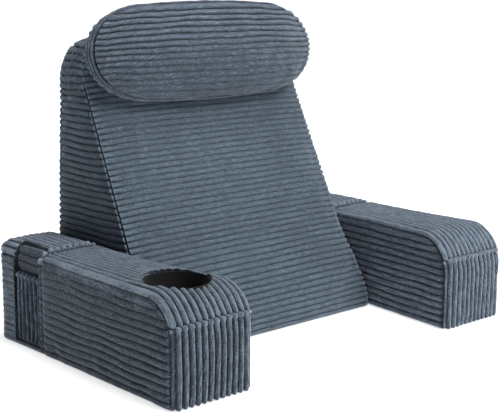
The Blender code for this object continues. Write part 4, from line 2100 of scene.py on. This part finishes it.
class Bench:
    """A new material's node tree, with its Principled shader."""

    def __init__(self, name: str) -> None:
        """Start a material with the shader alone.

        Args:
            name: The material's name.
        """
        self.material = bpy.data.materials.new(name)
        self.material.use_nodes = True
        self.tree = self.material.node_tree
        self.shader = self.tree.nodes["Principled BSDF"]

    def node(self, kind: str, settings: dict, inputs: dict) -> bpy.types.Node:
        """Add a node.

        Args:
            kind: The node's type.
            settings: Its properties, set before the inputs.
            inputs: A value, an Amount or a socket for each input.

        Returns:
            The new node.
        """
        made = self.tree.nodes.new(kind)
        for key, value in settings.items():
            setattr(made, key, value)
        self.feed(made, inputs)
        return made

    def feed(self, node: bpy.types.Node, inputs: dict) -> None:
        """Set or link a node's inputs.

        Args:
            node: The node.
            inputs: A value, an Amount or a socket for each input.
        """
        for key, value in inputs.items():
            if isinstance(value, Amount):
                value = value.socket
            if isinstance(value, bpy.types.NodeSocket):
                self.tree.links.new(value, node.inputs[key])
            else:
                node.inputs[key].default_value = value

    def where(self) -> bpy.types.NodeSocket:
        """Return places in the object's own space."""
        return self.node("ShaderNodeTexCoord", {}, {}).outputs["Object"]

    def noise(
        self,
        scale: float,
        detail: float = 3.0,
        distortion: float = 0.0,
        vector: bpy.types.NodeSocket | None = None,
    ) -> Amount:
        """Return noise, centred on 0.

        Args:
            scale: How fine it is.
            detail: How many finer layers it has.
            distortion: How much it is stirred.
            vector: Where it is read, or None for the object's own space.

        Returns:
            The noise.
        """
        values = {"Scale": scale, "Detail": detail, "Distortion": distortion}
        values["Vector"] = vector or self.where()
        made = self.node("ShaderNodeTexNoise", {"noise_dimensions": "3D"}, values)
        return Amount(self, made.outputs[0]) - 0.5

    def streaks(self, scale: Place) -> Amount:
        """Return noise drawn out along the ribs, centred on 0.

        Args:
            scale: How fine it is along and across the ribs, and from panel to panel.

        Returns:
            The noise.
        """
        lay = self.node("ShaderNodeAttribute", {"attribute_name": "lay"}, {}).outputs["Vector"]
        stretched = self.node("ShaderNodeMapping", {}, {"Vector": lay, "Scale": scale})
        return self.noise(1.0, vector=stretched.outputs[0])

    def distance(self) -> Amount:
        """Return how far a place is from the object's own middle."""
        made = self.node("ShaderNodeVectorMath", {"operation": "LENGTH"}, {0: self.where()})
        return Amount(self, made.outputs["Value"])

    def attribute(self, name: str) -> Amount:
        """Return a value that the mesh carries."""
        made = self.node("ShaderNodeAttribute", {"attribute_name": name}, {})
        return Amount(self, made.outputs["Fac"])

    def mix(self, factor: Amount, low: object, high: object) -> bpy.types.NodeSocket:
        """Return a colour between two colours."""
        settings = {"data_type": "RGBA", "clamp_factor": True}
        return self.node("ShaderNodeMix", settings, {0: factor, 6: low, 7: high}).outputs[2]

    def bump(self, strength: float, distance: float, height: Amount) -> bpy.types.NodeSocket:
        """Return the normal of a surface with this relief."""
        values = {"Strength": strength, "Distance": distance, "Height": height}
        return self.node("ShaderNodeBump", {}, values).outputs[0]

    def finish(self, inputs: dict) -> bpy.types.Material:
        """Set or link the shader's inputs, and return the material."""
        self.feed(self.shader, inputs)
        return self.material


@dataclass(frozen=True)
class Plush:
    """Ribbed plush: painted shade in the valleys, painted highlights on the crests, brushed in
    patches.

    Attributes:
        name: The material's name.
        valley_shade: The painted shade between the ribs.
        body: The colour of the ribs.
        pale: The painted highlight colour, where the pile catches the light.
        nap: How strongly the brushed patches show, 0 to 1.
        grain: How strongly the tufts and streaks of the pile show.
        roughness: How dull the cloth is.
        gloss: How much light it mirrors, as a share of a hard surface's.
        sheen: How much the pile's edges glow.
        sheen_roughness: How widely they glow.
        sheen_tint: The colour of that glow.
        patch_scale: How fine the brushed patches are.
        tuft_scale: How fine the tufts are.
        fibre_scale: How fine the fibres are.
        streak_scale: How fine the streaks are along and across the ribs, and between panels.
        depth: How deep the pile's relief is.
    """

    name: str
    valley_shade: Colour
    body: Colour
    pale: Colour
    nap: float = 0.5
    grain: float = 1.0
    roughness: float = 0.92
    gloss: float = 0.15
    sheen: float = 0.9
    sheen_roughness: float = 0.30
    sheen_tint: Colour = (0.72, 0.82, 0.95, 1.0)
    patch_scale: float = 16.0
    tuft_scale: float = 360.0
    fibre_scale: float = 900.0
    streak_scale: Place = (70.0, 620.0, 90.0)
    depth: float = 0.0014

    @cache
    def make(self) -> bpy.types.Material:
        """Make the material.

        Returns:
            The material, made once for each finish.
        """
        bench = Bench(self.name)
        crest = bench.attribute("crest").held()
        worn = bench.attribute("worn")
        fuzz = bench.attribute("fuzz")
        patches = bench.noise(self.patch_scale, 3.0, 1.0)
        tufts = bench.noise(self.tuft_scale, 3.0, 0.8)
        pile = bench.noise(self.fibre_scale, 2.0)
        streaks = bench.streaks(self.streak_scale)
        tufted = tufts * (0.9 + worn * 1.1)
        uneven = patches * self.nap + pile * 2.2 + (tufted + streaks * 2.0) * self.grain
        # Painted shade in the rib valleys and painted highlights on the crests, from the crest
        # value; the fuzz value adds each panel's painted light and shade and the painted highlights
        # on rib ends.
        lit = crest - worn * 0.30
        base = bench.mix((lit**1.1 + uneven * 0.42 + fuzz * 0.8).held(), self.valley_shade, self.body)
        painted_highlight = ((lit - 0.64) * 0.90 + fuzz * 0.65 + uneven * 1.05).held()
        colour = bench.mix(painted_highlight, base, self.pale)
        relief = pile * 0.6 + (tufts + streaks) * self.grain
        return bench.finish(
            {
                "Base Color": colour,
                "Roughness": self.roughness,
                "Normal": bench.bump(0.8, self.depth, relief),
                "Sheen Weight": self.sheen,
                "Sheen Roughness": self.sheen_roughness,
                "Sheen Tint": self.sheen_tint,
                "Specular IOR Level": self.gloss,
            }
        )


@dataclass(frozen=True)
class LiningCloth:
    """Thin black lining cloth with a fine weave."""

    name: str
    dark: Colour = (0.003, 0.003, 0.004, 1.0)
    worn: Colour = (0.010, 0.010, 0.012, 1.0)

    @cache
    def make(self) -> bpy.types.Material:
        """Make the material.

        Returns:
            The material, made once for each finish.
        """
        bench = Bench(self.name)
        weave = bench.noise(900.0, 2.0)
        folds = bench.noise(60.0, 3.0)
        colour = bench.mix((weave * 0.6 + folds * 0.4 + 0.5).held(), self.dark, self.worn)
        return bench.finish(
            {
                "Base Color": colour,
                "Roughness": 0.8,
                "Normal": bench.bump(0.4, 0.0006, weave + folds),
                "Sheen Weight": 0.1,
                "Specular IOR Level": 0.2,
            }
        )


@dataclass(frozen=True)
class StudioFloor:
    """Plain pale floor, lit a little from within so that it stays white.

    Attributes:
        name: The material's name.
        dull: The floor's colour where it is dullest.
        pale: The floor's colour where it is palest.
        glow: How much it shines of itself beside the pillow.
        near: How far from the pillow that glow begins to grow.
        far: How far off the floor shines white.
    """

    name: str
    dull: Colour = (0.90, 0.90, 0.90, 1.0)
    pale: Colour = (0.92, 0.92, 0.92, 1.0)
    glow: float = 0.66
    near: float = 0.7
    far: float = 2.2

    def make(self) -> bpy.types.Material:
        """Make the material.

        Returns:
            The material.
        """
        bench = Bench(self.name)
        colour = bench.mix(bench.noise(3.0, 2.0) + 0.5, self.dull, self.pale)
        away = (bench.distance() - self.near) * (1 / (self.far - self.near))
        glow = bench.mix(away.held(), (self.glow, self.glow, self.glow, 1.0), WHITE)
        return bench.finish(
            {
                "Base Color": colour,
                "Roughness": 0.9,
                "Emission Color": glow,
                "Emission Strength": 1.0,
                "Specular IOR Level": 0.0,
            }
        )


# Studio


@dataclass(frozen=True)
class SoftLight:
    """A square soft light that faces the pillow.

    Attributes:
        name: The light's name.
        place: Where its middle is.
        size: The length of its sides.
        power: How strong it is, in watts.
        aim: What it faces.
    """

    name: str
    place: Place
    size: float
    power: float
    aim: Place = (0.0, 0.0, 0.2)

    def add(self) -> None:
        """Add the light."""
        lamp = bpy.data.lights.new(self.name, "AREA")
        lamp.shape = "SQUARE"
        lamp.size = self.size
        lamp.energy = self.power
        made = linked(self.name, lamp)
        made.location = self.place
        made.rotation_mode = "QUATERNION"
        towards = Vector(self.aim) - Vector(self.place)
        made.rotation_quaternion = towards.to_track_quat("-Z", "Y")


@dataclass
class Studio:
    """A pale floor, soft light and the camera.

    Attributes:
        lens: The camera's focal length, in millimetres.
        sensor: The width of its sensor, in millimetres.
        place: Where it stands.
        fall: How far it looks down.
        turn: How far it is turned left from looking straight back.
        roll: How far it is tipped sideways.
        ambient: How bright the surroundings are.
        floor_size: The length of the floor's sides.
        floor_drop: How far the floor lies under the pillow.
        lights: The soft lights.
    """

    lens: float = 89.876
    sensor: float = 36.0
    place: Place = (-1.3682, -1.48625, 0.6045)
    fall: float = math.radians(11.209)
    turn: float = math.radians(-42.4057)
    roll: float = math.radians(0.2198)
    ambient: float = 0.16
    floor_size: float = 40.0
    floor_drop: float = 0.0005
    lights: tuple[SoftLight, ...] = (
        SoftLight("top_light", (0.1, -0.3, 3.2), 1.3, 62.0),
        SoftLight("front_light", (0.6, -2.1, 2.5), 1.2, 84.0),
    )

    def add_floor(self) -> None:
        """Add the floor."""
        bpy.ops.object.select_all(action="DESELECT")
        where = (0.0, 0.0, -self.floor_drop)
        bpy.ops.mesh.primitive_plane_add(size=self.floor_size, location=where)
        floor = bpy.context.active_object
        floor.name = "studio_floor"
        floor.data.materials.append(StudioFloor("studio_floor").make())

    def add_world(self) -> None:
        """Add the white surroundings."""
        world = bpy.data.worlds.new("studio_world")
        world.use_nodes = True
        background = world.node_tree.nodes["Background"]
        background.inputs["Color"].default_value = WHITE
        background.inputs["Strength"].default_value = self.ambient
        bpy.context.scene.world = world
        bpy.context.scene.view_settings.view_transform = "Standard"

    def add_camera(self) -> None:
        """Add the camera at the photograph's place."""
        lens = bpy.data.cameras.new("studio_camera")
        lens.sensor_width = self.sensor
        lens.lens = self.lens
        lens.clip_start = 0.01
        camera = linked("studio_camera", lens)
        camera.location = self.place
        turns = ((self.turn, "Z"), (QUARTER - self.fall, "X"), (self.roll, "Z"))
        turn, fall, roll = (Matrix.Rotation(angle, 3, axis) for angle, axis in turns)
        camera.rotation_euler = (turn @ fall @ roll).to_euler()
        bpy.context.scene.camera = camera

    def build(self) -> None:
        """Set the whole studio up."""
        self.add_floor()
        for light in self.lights:
            light.add()
        self.add_world()
        self.add_camera()


# Each finish's colours: painted shade in the valleys, the cloth's body, and the painted highlight
# on the crests.
VALLEY_SHADE = (0.012, 0.016, 0.023, 1.0)
SLATE = (VALLEY_SHADE, (0.070, 0.090, 0.118, 1.0), (0.215, 0.262, 0.325, 1.0))
MIST = (VALLEY_SHADE, (0.066, 0.091, 0.117, 1.0), (0.203, 0.264, 0.322, 1.0))
# The slate plush darkened as painted shade, for the pocket's lining.
PAINTED_SHADE_SLATE = ((0.010, 0.012, 0.017, 1.0), (0.027, 0.034, 0.047, 1.0), (0.062, 0.077, 0.103, 1.0))


def main() -> None:
    """Build the pillow, dress it and set up the studio."""
    logging.basicConfig(level=logging.INFO, format="%(message)s")
    plush = Plush("slate_plush", *SLATE)
    smooth = Plush("smooth_plush", *MIST, nap=0.3, grain=0.45)
    combed = Plush("combed_plush", *SLATE, nap=0.4, grain=0.75)
    # The plush darkened as painted shade, for the pocket's lining.
    shaded = Plush("shaded_plush", *PAINTED_SHADE_SLATE, nap=0.3)

    wedge = WedgeCushion("wedge_cushion", "backrest_wedge", "wedge_cloth", smooth, 0.9)
    head = HeadCushion("headrest_cushion", "headrest", "headrest_cloth", combed, 0.8, wedge=wedge)
    left_arm = ArmCushion(
        "left_arm_cushion",
        "left_arm",
        "arm_cloth",
        plush,
        hand=Hand.LEFT,
        nose=0.056,
        painted_light=0.20,
        seed=10,
    )
    right_arm = ArmCushion("right_arm_cushion", "right_arm", "arm_cloth", plush)
    left_block = BlockCushion(
        "left_block_cushion", "left_block", "block_cloth", plush, hand=Hand.LEFT, seed=30
    )
    right_block = BlockCushion("right_block_cushion", "right_block", "block_cloth", plush)
    cushions = (wedge, head, left_arm, right_arm, left_block, right_block)
    foam = Foam()
    for cushion in cushions:
        cushion.make(foam)

    well = CupWell(LiningCloth("black_lining"))
    pocket = SlotPocket(plush, shaded)
    well.open_arm(left_arm.piece)
    pocket.open_block(left_block.piece)
    well.make_lining()
    pocket.make_front()
    pocket.make_lining()

    for part in (*cushions, well, pocket):
        part.dress()
    Studio().build()


if __name__ == "__main__":
    main()
